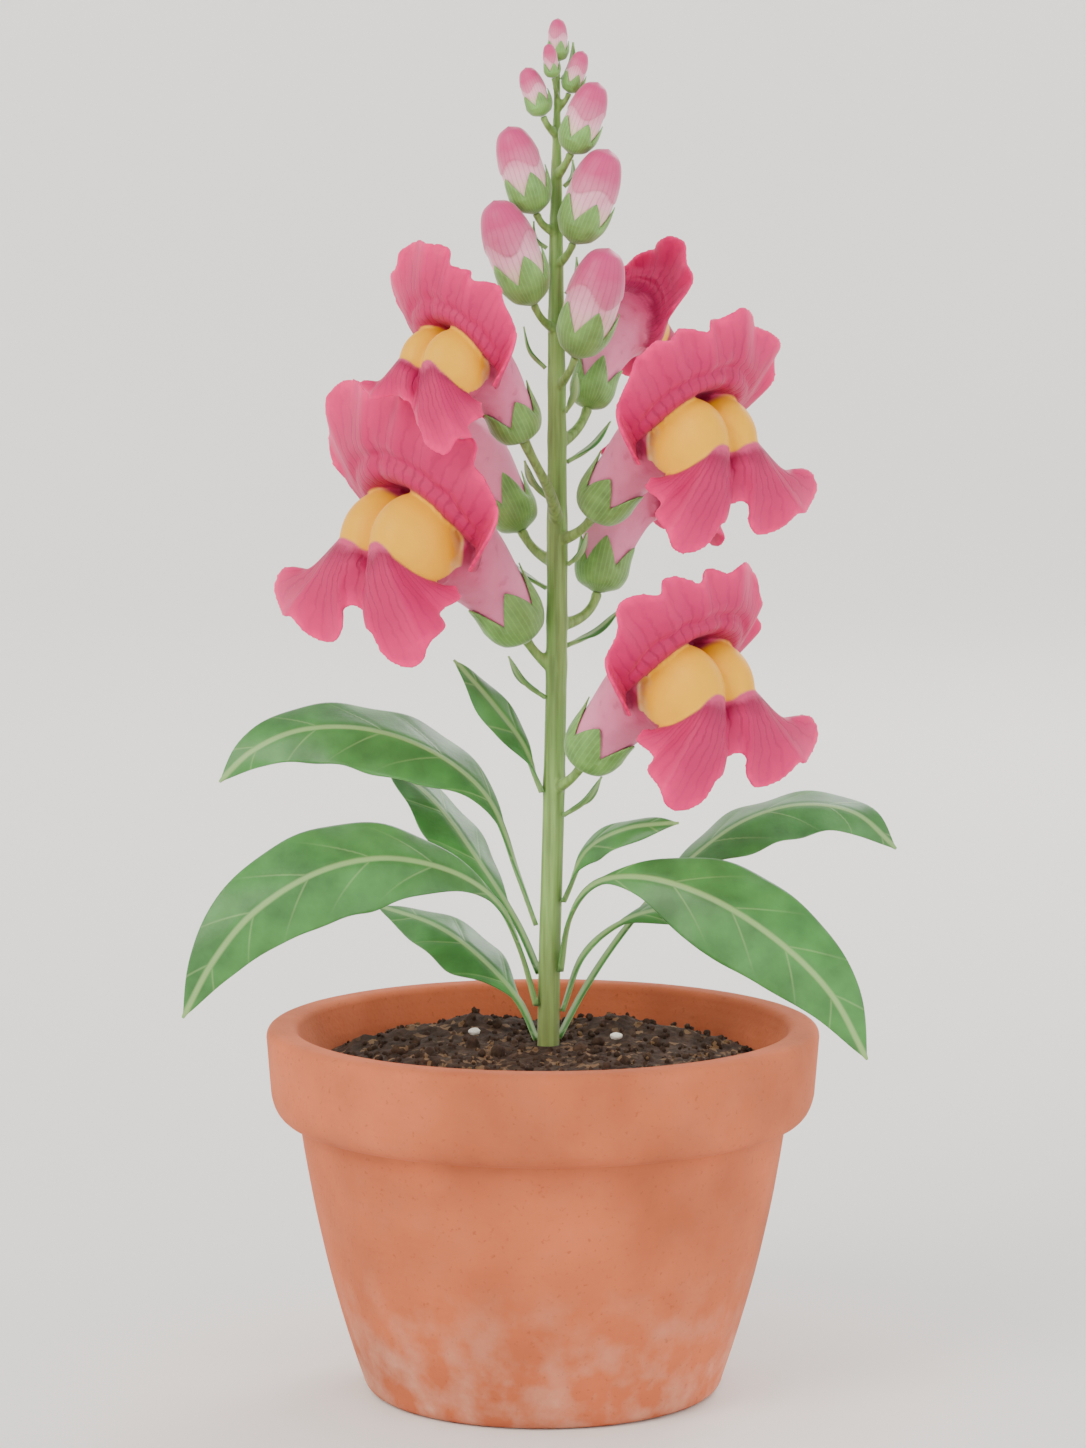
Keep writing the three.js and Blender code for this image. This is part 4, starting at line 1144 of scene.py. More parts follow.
def pot_solid(settings):
    """The turned pot: flat base with a drainage hole, bellied wall and thick rolled rim."""
    rim, top = settings.rim_radius / MM, settings.height / MM
    bottom, base, hole = POT["rim_bottom"], POT["base_radius"], POT["hole_radius"]
    inner_rim, inner_base, floor = POT["inner_rim"], POT["inner_base"], POT["floor"]
    # The base, its rounded foot and the wall.
    wall_foot, wall_top = (base + 3.3, 3.2), (POT["wall_top"], bottom - 0.6)
    profile = [(hole, 0), (base, 0)]
    profile += bent_profile((base, 0), (base + 2.7, 0.2), wall_foot, 6)
    profile += bent_profile(wall_foot, POT["wall_belly"], wall_top, 24)
    # The rim's rounded shoulder, its face, and its top rolled over to the inside.
    shoulder, face = (POT["wall_top"] + 0.6, bottom), (rim - 0.9, bottom + 5.5)
    profile += [shoulder]
    profile += bent_profile(shoulder, (53.4, bottom + 0.2), face, 8)
    profile += [(mix(face[0], rim, i / 5), mix(face[1], top - 2.2, i / 5)) for i in range(1, 6)]
    profile += bent_profile((rim, top - 2.2), (rim, top), (rim - 2.2, top), 8)
    profile += [(inner_rim + 2, top)]
    profile += bent_profile((inner_rim + 2, top), (inner_rim + 0.2, top), (inner_rim, top - 2), 6)
    # The inside, down to the floor and the hole.
    profile += [(inner_radius(h), h) for h in (69, 65, 50, 35, 20, floor + 2)]
    profile += [(inner_base - 2.4, floor), (hole, floor)]
    bm = turned(profile, 144, closed=True)
    # A shaping rib leaves the clay a hair off true: soft swells round it, none on the base.
    stray = settings.unevenness / MM
    for vert in bm.verts:
        spot = vert.co.copy()
        swell = noise.noise(spot * 0.035) + 0.4 * noise.noise(spot * 0.11)
        vert.co.xy *= 1 + stray * swell / max(spot.xy.length, 1)
        if spot.z > top - 3:
            vert.co.z -= 0.5 * stray * abs(noise.noise(spot * 0.05))
    return bm


def soil_height(x, y):
    """Height of the soil at a place: a low crown with heaps on it."""
    share = min(math.hypot(x, y) / inner_radius(SOIL_EDGE), 1)
    crown = SOIL_EDGE + (SOIL_CROWN - SOIL_EDGE) * (1 - share**2.6)
    heaps = (
        rise * math.exp(-((math.hypot(x - mx, y - my) / spread) ** 2) / 1.4)
        for mx, my, rise, spread in MOUNDS
    )
    return crown + sum(heaps)


def soil_roughness(x, y):
    """Clods and crumbs of the soil's surface."""
    spot = Vector((x, y, 0))
    clods = abs(noise.noise(spot * 0.32)) * 1.1
    crumbs = noise.noise(spot * 1.1) * 0.34 + noise.noise(spot * 2.3) * 0.16
    return clods + crumbs - 0.45


def soil_solid():
    """The soil that fills the pot, with a socket for the stem."""
    edge = inner_radius(SOIL_EDGE) - 0.25
    floor = POT["floor"] + 0.3
    low_wall = inner_radius(floor + 2) - 0.4
    stem_x = STEM_LINE[0][0]
    rings = 84
    profile = [(0, floor), (POT["inner_base"] - 2.6, floor), (low_wall, floor + 2)]
    profile += [(mix(low_wall, edge, i / 5), mix(floor + 2, SOIL_EDGE, i / 5)) for i in range(1, 6)]
    profile += [(mix(edge, SOCKET_RADIUS, i / rings), SOIL_EDGE) for i in range(1, rings + 1)]
    profile += [(SOCKET_RADIUS, SOCKET_FLOOR), (0, SOCKET_FLOOR)]
    bm = turned(profile, 180)
    for vert in bm.verts:
        away = vert.co.xy.length
        vert.co.x += stem_x * (1 - smooth(away, SOCKET_RADIUS, edge))
        if vert.co.z > SOIL_EDGE - 0.1:
            x, y = vert.co.xy
            calm = smooth(away, edge, edge - 2) * smooth(away, SOCKET_RADIUS, SOCKET_RADIUS + 2)
            vert.co.z = soil_height(x, y) + soil_roughness(x, y) * calm
    return bm


def crumb_solids(settings):
    """Loose crumbs on the soil, few-sided because there are hundreds, and some bigger clods."""
    chance = random.Random(11)
    clod_every = 14
    bm = bmesh.new()
    reach = inner_radius(SOIL_EDGE) - 1.6
    for i in range(settings.crumbs):
        clod = i % clod_every == 0
        radius = settings.crumb_size / MM * chance.uniform(0.45, 1.35) * (1.9 if clod else 1)
        away, turn = reach * math.sqrt(chance.random()), chance.uniform(0, 360)
        spot = heading(turn) * away
        spot.x += STEM_LINE[0][0]
        from_stem = (spot - Vector((STEM_LINE[0][0], 0, 0))).length
        near_grain = any(math.hypot(spot.x - x, spot.y - y) < 3 for _, x, y, _ in GRAINS)
        squash = Vector([chance.uniform(0.7, 1.15) for _ in range(3)])
        tilt = Matrix.Rotation(chance.uniform(0, math.pi), 4, Vector((chance.random(), 1, 0.4)))
        if from_stem < SOCKET_RADIUS + 2 or near_grain or spot.length > reach:
            continue
        spot.z = soil_height(*spot.xy) + soil_roughness(*spot.xy) + radius * 0.35
        place = Matrix.Translation(spot) @ tilt @ Matrix.Diagonal((*(squash * radius), 1))
        made = bmesh.ops.create_icosphere(bm, subdivisions=2 if clod else 1, radius=1)
        for vert in made["verts"]:
            vert.co *= 1 + 0.35 * noise.noise(vert.co * 1.3 + Vector((i * 1.7, 0, 0)))
        bmesh.ops.transform(bm, matrix=place, verts=made["verts"])
    return bm


def grain_solid(x, y, turn):
    """A popped grain: an angular pebble full of dents."""
    bm = bmesh.new()
    bmesh.ops.create_icosphere(bm, subdivisions=5, radius=1)
    for vert in bm.verts:
        spot = vert.co + Vector((turn, 0, 0))
        dents = 0.16 * noise.noise(spot * 1.7) + 0.07 * abs(noise.noise(spot * 5))
        vert.co *= 0.96 + dents
        vert.co *= Vector((1.3, 0.9, 0.72))
    # Its middle lies this far above the soil that it rests on.
    middle = 1.05
    turned_by = Matrix.Rotation(math.radians(turn), 4, "Z")
    place = Matrix.Translation((x, y, soil_height(x, y) + middle)) @ turned_by
    bmesh.ops.transform(bm, matrix=place, verts=bm.verts)
    return bm


# ------------------------------------------------------------------ stem and leaves

stem_line = flowing_line(STEM_LINE)


def stem_centre(height):
    """The middle of the stem at a height."""
    return stem_line.at((height - STEM_LINE[0][2]) / STEM_RISE)


def stem_radius(height):
    """The stem's radius at a height."""
    return between(STEM_RADII, height) * ROUND


def flower_facts(name):
    """A flower's facts by name. One without a hood or lower lip of its own has the usual ones."""
    flower = dict(zip(FLOWER_FACTS, FLOWERS[name]))
    flower["hood"] = HOODS.get(name, HOODS[USUAL_HOOD])
    flower["lip"] = LOWER_LIPS.get(name, LOWER_LIPS["usual"])
    return flower


def flower_axis(flower):
    """The way that a flower's stalk ends and its calyx starts."""
    pitch = math.radians(CALYX_PITCH + flower["lift"])
    return heading(flower["turn"]) * math.cos(pitch) + UP * math.sin(pitch)


def stalk_solid(joint, foot, axis, radius):
    """A flower's stalk, wider where it leaves the stem and a little swollen under the flower."""
    end = Vector(foot) - axis * TOUCH
    start = stem_centre(joint)
    reach = (end - start).length
    bend = end - axis * reach * 0.5
    # A long stalk climbs before it spreads.
    leave = start.lerp(bend, 2 / 3) + UP * 0.3 * max(0, reach - 12)
    line = bent_line([start, leave, end.lerp(bend, 2 / 3), end])

    def radius_at(share):
        return radius * (1.15 - 0.25 * share + 0.3 * bell(share, 0.35) + 0.22 * bell(1 - share, 0.12))

    return rod(line, radius_at, 16, 24)


def stem_solid():
    """The ribbed stem, a little swollen at each joint, grown together with all its stalks."""
    joints = [joint for joint, *_ in FLOWERS.values()] + [joint for joint, *_ in BUDS.values() if joint]

    def radius_at(share):
        height = mix(STEM_LINE[0][2], STEM_LINE[-1][2], share)
        swelling = sum(bell(height - joint - 1, 2.2) for joint in joints)
        return stem_radius(height) * (1 + 0.06 * min(swelling, 1))

    trunk = rod(stem_line, radius_at, 40, 220)
    # Five shallow ribs run up the stem.
    for vert in trunk.verts:
        centre = stem_centre(vert.co.z)
        out = Vector((vert.co.x - centre.x, vert.co.y - centre.y, 0))
        turn = math.atan2(out.y, out.x)
        vert.co += out * 0.035 * math.sin(5 * turn + vert.co.z * 0.02)
    stalks = []
    for name in FLOWERS:
        flower = flower_facts(name)
        stalks.append(stalk_solid(flower["joint"], flower["foot"], flower_axis(flower), 1.0))
    for joint, foot, top, radius in BUDS.values():
        if joint:
            axis = (Vector(top) - Vector(foot)).normalized()
            stalks.append(stalk_solid(joint, foot, axis, min(0.8, radius * 0.22)))
    return grown_together([trunk, *stalks], STEM_FINENESS, 5)


def blade_width(share, stalk):
    """Half width of a blade against the share of its length, as a share of its greatest."""
    blade = clamp((share - stalk) / (1 - stalk))
    if blade < LEAF_PEAK:
        return smooth(blade / LEAF_PEAK, -0.15, 1)
    return 1 - ((blade - LEAF_PEAK) / (1 - LEAF_PEAK)) ** 2.1


def side_vein(across, along):
    """1 in a side vein and 0 off it."""
    phase = (along - SIDE_VEIN_SLANT * abs(across)) / SIDE_VEIN_SPACING
    return bell((phase / 2 - round(phase / 2)) * 2 * SIDE_VEIN_SPACING, 0.7)


def leaf_solid(height, turn, face, width, stalk, midrib, thickness, wave, grid=(26, 90)):
    """A blade on its stalk: two drooping halves along a midrib, sunken veins between soft puffs, a
    wavy margin, and the midrib's ridge beneath."""
    half = width / 2
    stalk_half = min(1.1, half * 0.3)
    out = heading(turn)
    start = stem_centre(height) + out * (stem_radius(height) + thickness * 0.7 + TOUCH)
    line = flowing_line([start, *midrib])
    face = Vector(face)
    bm = sheet_blank(*grid)
    layer = bm.verts.layers.float_vector.new("blade")
    for vert in bm.verts:
        u, share, level = vert.co
        ahead = line.ahead(share)
        side = (-out).lerp(face, smooth(share, 0, 0.3)).cross(ahead).normalized()
        up = ahead.cross(side)
        blade = blade_width(share, stalk)
        # Rows crowd a little towards the margin, where the blade thins and waves.
        place = 2 * u - 1
        spread = math.sin(place * math.pi / 2) * 0.35 + place * 0.65
        reach = spread * max(half * blade, stalk_half * (1 - share) + 0.25 * share)
        along = share * line.length
        droop = -LEAF_FOLD * abs(reach) * min(1, blade) + 0.12 * min(1, blade)
        margin = abs(spread) ** 3 * min(1, blade) * smooth(1 - share, 0, 0.1)
        ripple = wave * margin * math.sin(along * 0.42 + (1.3 if reach > 0 else 0))
        groove = -0.3 * bell(reach, 0.55) * min(1, blade)
        puff = (0.16 - 0.24 * side_vein(reach, along)) * smooth(abs(reach), 0.3, 1.4) * min(1, blade)
        ridge = -0.55 * bell(reach, 0.6) * smooth(1 - share, 0, 0.8)
        gauge = thickness * (1 - 0.5 * abs(spread) ** 6)
        lift = (level - 0.5) * gauge + droop + ripple + groove + puff * (1 - abs(spread) ** 4)
        if level < 0.5:
            lift += ridge
        vert[layer] = (reach, along, level)
        vert.co = line.at(share) + side * reach + up * lift
    bmesh.ops.recalc_face_normals(bm, faces=bm.faces)
    return bm


def bract_solid(height, turn, tip, width, thickness):
    """A small plain leaf that hugs the foot of a stalk."""
    out = heading(turn)
    start = stem_centre(height) + out * (stem_radius(height) + 0.3)
    middle = start.lerp(Vector(tip), 0.5) + out * 0.8 - UP * 0.6
    face = UP * 0.5 - out
    return leaf_solid(height, turn, face, width, 0.05, [middle, tip], thickness, 0.1, (10, 26))


# ------------------------------------------------------------------ flowers and buds


def tube_line(size):
    """The middle of a flower's tube, which is that of its calyx too."""
    return bent_line([Vector(knot) * size for knot in TUBE_LINE], 40)


def tube_radius(share, flower):
    """The calyx's own scale rules the radius at the foot, and the flower's size at the mouth."""
    cup = mix(flower["cup"], 1, smooth(share, 0.35, 0.9))
    return flower["size"] * between(TUBE_RADII, share) * cup


def tube_solid(flower):
    """The tube, from inside the calyx to the mouth, whose roof leans forward."""
    size = flower["size"]
    bm = rod_blank(40, 40, TUBE_LIFT)
    for vert in bm.verts:
        turn = math.atan2(vert.co.y, vert.co.x)
        # Ten soft ribs run along it.
        flute = 1 + 0.012 * math.cos(10 * turn) * smooth(vert.co.z, 0.2, 0.5)
        vert.co.xy *= tube_radius(vert.co.z, flower) * ROUND * flute
    carry(bm, tube_line(size), LATERAL)
    mouth = Vector(TUBE_LINE[-1]) * size
    for vert in bm.verts:
        near = clamp(vert.co.x / mouth.x) ** 4
        top = clamp((vert.co.z - mouth.z) / (TUBE_RADII[-1][1] * size))
        vert.co.x += MOUTH_SLANT * size * near * top
    return bm


def margin_line(rows):
    """A table of places along a margin as stations for between."""
    return [(place, Vector(spot)) for place, *spot in rows]


def gather(place, pinches, v):
    """How a frilled margin sways to the front and back, fading towards the root."""
    i = min(max(bisect_right(pinches, place) - 1, 0), len(pinches) - 2)
    share = (place - pinches[i]) / (pinches[i + 1] - pinches[i])
    return smooth(v, 0.35, 1) * math.cos(2 * math.pi * clamp(share))


def side_of(share, near):
    """1 on the side whose lobe droops and -1 on the other, with a quick turn between them."""
    return math.tanh(share / 0.06) * near


def upper_lip(flower, ruffle):
    """The erect hood: it springs from the mouth's roof, rolls over above the palate and stands up."""
    near, size, drop = flower["near"], flower["size"], flower["drop"]
    line = margin_line(flower["hood"])

    def surface(u, v):
        share = 2 * u - 1
        place = share * near
        angle = share * math.radians(UPPER_LIP_SPREAD)
        up, out = math.cos(angle), math.sin(angle)
        front = max(0, up)
        # Its root round the mouth, the roll above the palate, narrower on the far side, and its edge.
        root = Vector((20 + 6 * front, 9.8 * out, 17.4 + 9.4 * up - drop))
        spread = 13.2 - 3.3 * bell(place + 0.62, 0.25)
        roll = Vector((23.4 + 12.6 * front**0.8, spread * out, 17.8 + 12 * up - drop))
        across, height = between(line, place)
        edge = Vector((27.4 + 10.9 * front, across * near, height))
        # Both ends run back towards the corners of the mouth.
        reach = v * (1 - 0.6 * smooth(-place, 0.8, 1) - 0.5 * smooth(place, 0.9, 1))
        spot = between([(0, root), (HOOD_ROLL, roll), (1, edge)], reach)
        # The margin is frilled and leans back, and a shallow cleft runs down the middle.
        spot.x += ruffle * gather(place, UPPER_PINCHES, v) - 1.6 * v**4 * front
        spot.x -= 1.1 * bell(place + 0.04, 0.05) * (1 - 0.5 * v)
        # The fold above the palate, which tapers off down the near side.
        taper = smooth(place, -0.6, -0.2) * (1 - smooth(place, 0.45, 0.95))
        spot.x -= 1.5 * bell(v - HOOD_FOLD, 0.06) * taper
        return spot * size

    return surface


def lower_lip(flower, ruffle):
    """The lower lip's two lobes: they leave the palate along a crease, swell and hang, parted by a
    furrow that ends in a notch."""
    near, size = flower["near"], flower["size"]
    line = margin_line(flower["lip"])

    def surface(u, v):
        share = 1 - 2 * u
        place = share * near
        front = max(0, math.cos(share * math.radians(LOWER_LIP_SPREAD)))
        across = palate_reach(side_of(share, near)) * math.sin(share * math.pi / 2)
        foot = between(PALATE_FOOT, place) - flower["drop"]
        # The crease lies just inside the palate's skin.
        root = Vector((palate_front(flower, across, foot) - 0.35, across, foot))
        edge = between(line, place)
        edge.y *= near
        # The far lobe sags between the palate and its tip.
        sag = 3.2 * bell(place + 0.8, 0.22)
        shoulder = mix(root, edge, LIP_SHOULDER) + Vector((0.3 + 1.1 * front, 0, -sag))
        spot = between([(0, root), (LIP_SHOULDER, shoulder), (1, edge)], v)
        # The furrow leans to the far side as it runs down to the notch.
        spot.x -= 2.2 * bell(place + 0.1 * smooth(v, 0.1, 0.9), 0.065) * (1 - 0.5 * v)
        # The margin is frilled and curls back a little.
        spot.x += ruffle * gather(place, LOWER_PINCHES, v) - 1.2 * v**4
        return spot * size

    return surface


def palate_reach(fuller):
    """How far out to its side the crease under a hump runs."""
    return 8.5 + fuller


def palate_measures(flower, side):
    """Centre and radii of one hump at full size, the one on the drooping side a little fuller."""
    outer, wider = [more * side * flower["near"] for more in PALATE_FULLER]
    forward, out, height = PALATE_CENTRE
    depth, width, rise = PALATE_RADII
    centre = Vector((forward, (out + outer) * side, height - flower["drop"]))
    return centre, Vector((depth, width + wider, rise))


def palate_hump(flower, side):
    """One of the two humps that close the mouth."""
    centre, radii = palate_measures(flower, side)
    bm = bmesh.new()
    bmesh.ops.create_uvsphere(bm, u_segments=64, v_segments=40, radius=1)
    for vert in bm.verts:
        vert.co = (centre + vert.co * radii) * flower["size"]
    return bm


def palate_front(flower, across, height):
    """How far forward the skin of the palate lies at a place on its face."""
    fronts = []
    for side in (1, -1):
        centre, radii = palate_measures(flower, side)
        rest = 1 - ((across - centre.y) / radii.y) ** 2 - ((height - centre.z) / radii.z) ** 2
        fronts.append(centre.x + radii.x * math.sqrt(max(rest, 0)))
    return max(fronts)


def palate_cover(flower, spot):
    """1 on the skin of the humps above the lower lip's crease, and 0 away from it."""
    place = spot / flower["size"]
    away = []
    for side in (1, -1):
        centre, radii = palate_measures(flower, side)
        offset = place - centre
        away.append(Vector([part / radius for part, radius in zip(offset, radii)]).length)
    near = flower["near"]
    reach = palate_reach(side_of(place.y / 10, near))
    foot = between(PALATE_FOOT, math.asin(clamp(place.y * near / reach, -1)) / (math.pi / 2))
    foot -= flower["drop"]
    skin = (1 - smooth(min(away), 1.03, 1.11)) * smooth(place.z - foot, -0.2, 0.5)
    # Only the face of the palate shows its colour, not what lies behind the slanting mouth.
    behind = MOUTH_SLANT * clamp((place.z - TUBE_LINE[-1][2]) / TUBE_RADII[-1][1])
    return skin * smooth(place.x - behind, 21, 25)


def corolla_solid(flower, settings):
    """Tube, palate and lips grown into one skin, which keeps for each vertex the palate's cover, the
    share round its part and the share out from the part's root."""
    ruffle = settings.ruffle / MM
    petal = settings.thickness / MM

    def gauge(_, v):
        """A lip thins by a quarter towards its margin."""
        return petal * (1 - 0.25 * v)

    tube = tube_solid(flower)
    notes = [Vector((0, math.atan2(vert.co.y, vert.co.x) / math.pi, 0)) for vert in tube.verts]
    parts = [tube]
    for side in (1, -1):
        hump = palate_hump(flower, side)
        notes += [Vector()] * len(hump.verts)
        parts.append(hump)
    for lip in (upper_lip, lower_lip):
        blank = sheet_blank(110, 26)
        notes += [Vector((0, 2 * vert.co.x - 1, vert.co.y)) for vert in blank.verts]
        parts.append(lay_sheet(blank, lip(flower, ruffle), gauge))
    tree = KDTree(len(notes))
    for i, vert in enumerate(vert for part in parts for vert in part.verts):
        tree.insert(vert.co, i)
    tree.balance()
    skin = grown_together(parts, settings.fineness / MM, 3)

    def note_at(spot):
        note, total = Vector(), 0
        for _, i, distance in tree.find_n(spot, 6):
            weight = 1 / (distance + 0.2)
            note += notes[i] * weight
            total += weight
        note /= total
        note.x = palate_cover(flower, spot)
        return note

    mark(skin, "bloom", lambda spot: spot / flower["size"])
    mark(skin, "petal", note_at)
    return skin


def flower_place(flower):
    """Where a flower stands on its stalk, and which way it looks."""
    lift = Matrix.Rotation(math.radians(-flower["lift"]), 4, "Y")
    turn = Matrix.Rotation(math.radians(flower["turn"]), 4, "Z")
    return Matrix.Translation(flower["foot"]) @ turn @ lift


def sepal_length(turn):
    """Five sepals round a cup: 1 at a sepal's tip, small in the notch beside it."""
    from_tip = abs((turn * 5 / math.tau + 0.5) % 1 - 0.5) * 2
    return 0.14 + 0.86 * (1 - from_tip**1.15)


def calyx_solid(line, radius_at, notch, tip, wall, flare, sides=80):
    """A cup with five pointed sepals along a line, clear of the radius inside it."""
    inside = 0.045
    rows, rim_rows = 8, 12
    outer = [(0.0, 0), (0.4, 0), (0.8, 0.002)]
    outer += [(1, mix(0.02, notch, i / rows)) for i in range(rows + 1)]
    outer += [(1, notch + i / rim_rows) for i in range(1, rim_rows + 1)]
    inner = [(0.5, notch + i / rim_rows) for i in range(rim_rows, 0, -1)]
    inner += [(0.5, mix(notch, inside, i / rows)) for i in range(rows + 1)]
    bm = turned([*outer, *inner, (0, inside)], sides)
    layer = bm.verts.layers.float_vector.new("cup")
    foot = radius_at(0.02) * 0.8
    for vert in bm.verts:
        x, y, z = vert.co
        # The blank's radius tells the outer wall, at 1, from the inner one, at 0.5, and the foot.
        kind = vert.co.xy.length
        turn = math.atan2(x, -y)
        length = sepal_length(turn)
        rise = max(z - notch, 0)
        share = min(z, notch) + (tip - notch) * rise * length
        tight = radius_at(share) * ROUND
        middle = math.cos(2.5 * turn) ** 2
        gap = 0.22 - 0.1 * rise
        spread = flare * rise**2 * length
        if kind > 0.9:
            thick = wall * (1 - 0.72 * rise)
            radius = tight + gap + thick + spread + 0.12 * wall * middle
            radius = mix(foot, radius, smooth(share, -0.01, 0.06))
        elif z > 0.01:
            radius = (tight + gap + spread) * (kind / 0.5)
        else:
            radius = foot * kind
        direction = vert.co.xy.normalized() if kind > 1e-6 else vert.co.xy
        vert[layer] = (turn, share, kind)
        vert.co = (*(direction * radius), share)
    carry(bm, line, LATERAL)
    bmesh.ops.recalc_face_normals(bm, faces=bm.faces)
    return bm


def bud_solid(bud_line, radius_at, seed):
    """Petals still closed: an egg whose upper lobes lap over the lower ones along a wavy fold."""
    low = 0.06
    rings = 100
    heights = [mix(low, 0.9985, 1 - (1 - i / rings) ** 1.5) for i in range(rings + 1)]
    profile = [(0, low), *[(radius_at(height) * ROUND, height) for height in heights], (0, 1)]
    bm = turned(profile, 64)
    layer = bm.verts.layers.float_vector.new("fold")
    for vert in bm.verts:
        share = vert.co.z
        turn = math.atan2(vert.co.x, -vert.co.y)
        wavy = 0.075 * math.cos(3 * turn + seed) - 0.05 * bell(math.sin(turn * 0.5 + seed), 0.35)
        cap = smooth(share, 0.58 + wavy, 0.6 + wavy)
        seam = bell(math.sin(turn + seed), 0.1) * smooth(share, 0.35, 0.5) * (1 - cap)
        lap = 0.05 * (cap - 0.6) * smooth(1 - share, 0, 0.3) * smooth(share, 0.2, 0.5) - 0.03 * seam
        vert.co.xy *= 1 + lap
        vert[layer] = (turn, share, cap)
    return carry(bm, bud_line, LATERAL)


# ------------------------------------------------------------------ operators


class SNAPDRAGON_OT_pot(bpy.types.Operator):
    """Turn the clay pot with its rolled rim"""

    bl_idname = "snapdragon.pot"
    bl_label = "Clay Pot"

    def execute(self, context):
        settings = context.scene.snapdragon.pot
        finish_piece(pot_solid(settings), "clay_pot", terracotta(settings), "terracotta", "pot")
        return {"FINISHED"}


class SNAPDRAGON_OT_soil(bpy.types.Operator):
    """Fill the pot with soil, its crumbs and its two white grains"""

    bl_idname = "snapdragon.soil"
    bl_label = "Potting Soil"

    def execute(self, context):
        settings = context.scene.snapdragon.soil
        peat = moist_peat(settings)
        finish_piece(soil_solid(), "soil_bed", peat, "soil", "potting_soil")
        finish_piece(crumb_solids(settings), "soil_crumbs", peat, "soil", "potting_soil")
        white = expanded_perlite(settings)
        for node, x, y, turn in GRAINS:
            finish_piece(grain_solid(x, y, turn), f"grain_{node}", white, "perlite", node)
        return {"FINISHED"}


class SNAPDRAGON_OT_stem(bpy.types.Operator):
    """Grow the stem with its flower stalks"""

    bl_idname = "snapdragon.stem"
    bl_label = "Stem and Stalks"

    def execute(self, context):
        material = fleshy_stem(context.scene.snapdragon.leaf)
        finish_piece(stem_solid(), "grown_stem", material, "stem", "main_stem")
        return {"FINISHED"}


class SNAPDRAGON_OT_leaves(bpy.types.Operator):
    """Grow the nine leaves and the small bracts up the spike"""

    bl_idname = "snapdragon.leaves"
    bl_label = "Leaves and Bracts"

    def execute(self, context):
        settings = context.scene.snapdragon.leaf
        material = waxy_leaf(settings)
        thickness, wave = settings.thickness / MM, settings.wave / MM
        for node, facts in LEAVES.items():
            blade = leaf_solid(*facts, thickness, wave)
            finish_piece(blade, f"blade_{node}", material, "leaf", node)
        for i, facts in enumerate(BRACTS, 1):
            blade = bract_solid(*facts, thickness * 0.8)
            finish_piece(blade, f"small_bract_{i}", material, "leaf", f"bract_{i}")
        return {"FINISHED"}


class SNAPDRAGON_OT_flowers(bpy.types.Operator):
    """Open the seven flowers, each a corolla in its calyx"""

    bl_idname = "snapdragon.flowers"
    bl_label = "Open Flowers"

    def execute(self, context):
        settings = context.scene.snapdragon.flower
        petal = velvet_petal(settings)
        sepal = downy_sepal(context.scene.snapdragon.leaf)
        for name in FLOWERS:
            flower = flower_facts(name)
            place = flower_place(flower)
            node = f"corolla_{name}"
            corolla = corolla_solid(flower, settings)
            finish_piece(corolla, f"petals_{name}", petal, "petal", node, place=place)
            line = tube_line(flower["size"])
            cup = calyx_solid(line, lambda share: tube_radius(share, flower), **CALYX)
            finish_piece(cup, f"sepals_{name}", sepal, "sepal", f"calyx_{name}", place=place)
        return {"FINISHED"}


class SNAPDRAGON_OT_buds(bpy.types.Operator):
    """Set the nine closed buds on the top of the spike"""

    bl_idname = "snapdragon.buds"
    bl_label = "Closed Buds"

    def execute(self, context):
        petal = silky_bud(context.scene.snapdragon.flower)
        sepal = downy_sepal(context.scene.snapdragon.leaf)
        for i, (name, (_, foot, top, radius)) in enumerate(BUDS.items()):
            line = Path([foot, top])
            wall = min(0.6, radius * 0.16)
            slim = radius - wall - 0.3

            def radius_at(share, slim=slim):
                return slim * between(BUD_RADII, share)

            closed = bud_solid(line, radius_at, i * 1.9)
            finish_piece(closed, f"closed_bud_{name}", petal, "bud_petal", f"bud_petals_{name}")
            cup = calyx_solid(line, radius_at, **BUD_CALYX, wall=wall * 0.9, sides=60)
            finish_piece(cup, f"bud_sepals_{name}", sepal, "sepal", f"bud_calyx_{name}")
        return {"FINISHED"}


def add_light(name, size, power, place, target, colour="#ffffff"):
    """A round soft light that looks at a point."""
    light = bpy.data.lights.new(name, "AREA")
    light.shape = "DISK"
    light.size = size
    light.energy = power
    light.color = to_linear(colour)
    lamp = bpy.data.objects.new(name, light)
    lamp.location = place
    lamp.rotation_euler = (Vector(target) - Vector(place)).to_track_quat("-Z", "Y").to_euler()
    bpy.context.scene.collection.objects.link(lamp)


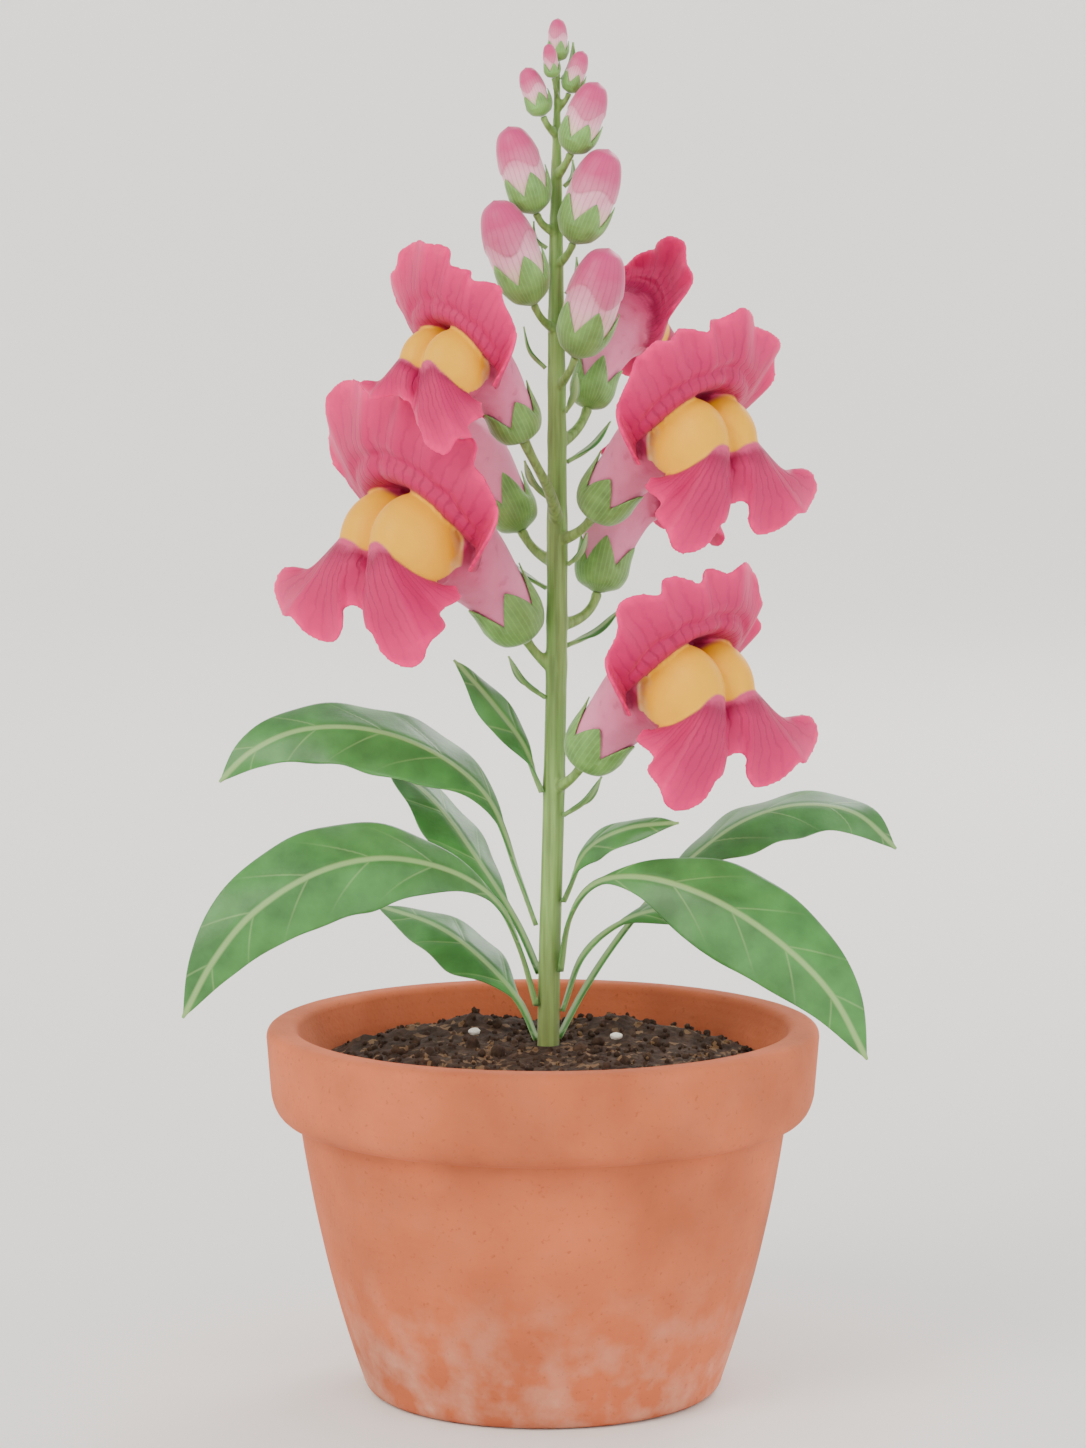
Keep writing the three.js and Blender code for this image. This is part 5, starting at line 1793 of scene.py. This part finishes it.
class SNAPDRAGON_OT_stage(bpy.types.Operator):
    """Lay the pale floor, hang the lights and set up the camera"""

    bl_idname = "snapdragon.stage"
    bl_label = "Stage"

    def execute(self, context):
        settings = context.scene.snapdragon.stage
        # A wide dish of paper, flat under the pot, whose rim curves up out of sight.
        flat, wall, height = 1.7, 2.8, 2.6
        profile = [(0, 0), (0.3, 0), (0.9, 0), (flat, 0)]
        profile += bent_profile((flat, 0), (wall, 0), (wall, height), 16)
        bm = turned(profile, 64)
        mesh = bpy.data.meshes.new("paper_floor")
        bm.to_mesh(mesh)
        bm.free()
        mesh.flip_normals()
        mesh.shade_smooth()
        mesh.materials.append(studio_paper(settings.floor))
        floor = bpy.data.objects.new("paper_floor", mesh)
        context.scene.collection.objects.link(floor)

        middle = (0, 0, 0.14)
        power = settings.key_power
        add_light("key_light", 0.8, power, (-0.85, -1.0, 1.15), middle, "#fff8ee")
        add_light("fill_light", 1.2, power * 0.3, (1.2, -0.85, 0.5), middle, "#f0f5ff")
        add_light("back_light", 0.8, power * 0.7, (0.6, 1.1, 1.0), middle)
        # Lights behind the backdrop's foot would show, so four high ones wash its wall from inside.
        for i, (x, y) in enumerate(((0, 1.2), (1.2, 0), (0, -1.2), (-1.2, 0)), 1):
            add_light(f"wall_light_{i}", 1.0, power * 2.5, (x, y, 2.5), (x * 2.3, y * 2.3, 1.6))
        world = bpy.data.worlds.new("soft_room")
        world.use_nodes = True
        background = world.node_tree.nodes["Background"]
        background.inputs["Color"].default_value = solid(to_linear("#f6f7f8"))
        background.inputs["Strength"].default_value = 0.62
        context.scene.world = world

        camera = bpy.data.cameras.new("camera")
        camera.lens = settings.lens
        camera.sensor_width = 36
        camera.clip_start, camera.clip_end = 0.02, 40
        viewer = bpy.data.objects.new("camera", camera)
        viewer.location = (0, -settings.distance, settings.eye_height)
        viewer.rotation_euler = (math.pi / 2 - settings.pitch, 0, 0)
        context.scene.collection.objects.link(viewer)
        context.scene.camera = viewer
        return {"FINISHED"}


OPERATORS = (
    SNAPDRAGON_OT_stage,
    SNAPDRAGON_OT_pot,
    SNAPDRAGON_OT_soil,
    SNAPDRAGON_OT_stem,
    SNAPDRAGON_OT_leaves,
    SNAPDRAGON_OT_flowers,
    SNAPDRAGON_OT_buds,
)


class SNAPDRAGON_PT_panel(bpy.types.Panel):
    """The pieces of the plant, each with a button that makes it"""

    bl_label = "Potted Snapdragon"
    bl_idname = "SNAPDRAGON_PT_panel"
    bl_space_type = "VIEW_3D"
    bl_region_type = "UI"
    bl_category = "Snapdragon"

    def draw(self, context):
        settings = context.scene.snapdragon
        for operator in OPERATORS:
            self.layout.operator(operator.bl_idname)
        for group in (settings.pot, settings.soil, settings.leaf, settings.flower, settings.stage):
            box = self.layout.box()
            for name in group.bl_rna.properties.keys():
                if name not in ("rna_type", "name"):
                    box.prop(group, name)


CLASSES = (
    PotSettings,
    SoilSettings,
    LeafSettings,
    FlowerSettings,
    StageSettings,
    SnapdragonSettings,
    *OPERATORS,
    SNAPDRAGON_PT_panel,
)


def register():
    """Makes the settings, buttons and panel known."""
    for each in CLASSES:
        bpy.utils.register_class(each)
    bpy.types.Scene.snapdragon = PointerProperty(type=SnapdragonSettings)


def unregister():
    """Takes them away again."""
    del bpy.types.Scene.snapdragon
    for each in reversed(CLASSES):
        bpy.utils.unregister_class(each)


def main():
    """Presses every button in order."""
    register()
    for operator in OPERATORS:
        group, name = operator.bl_idname.split(".")
        getattr(getattr(bpy.ops, group), name)()


if __name__ == "__main__":
    main()
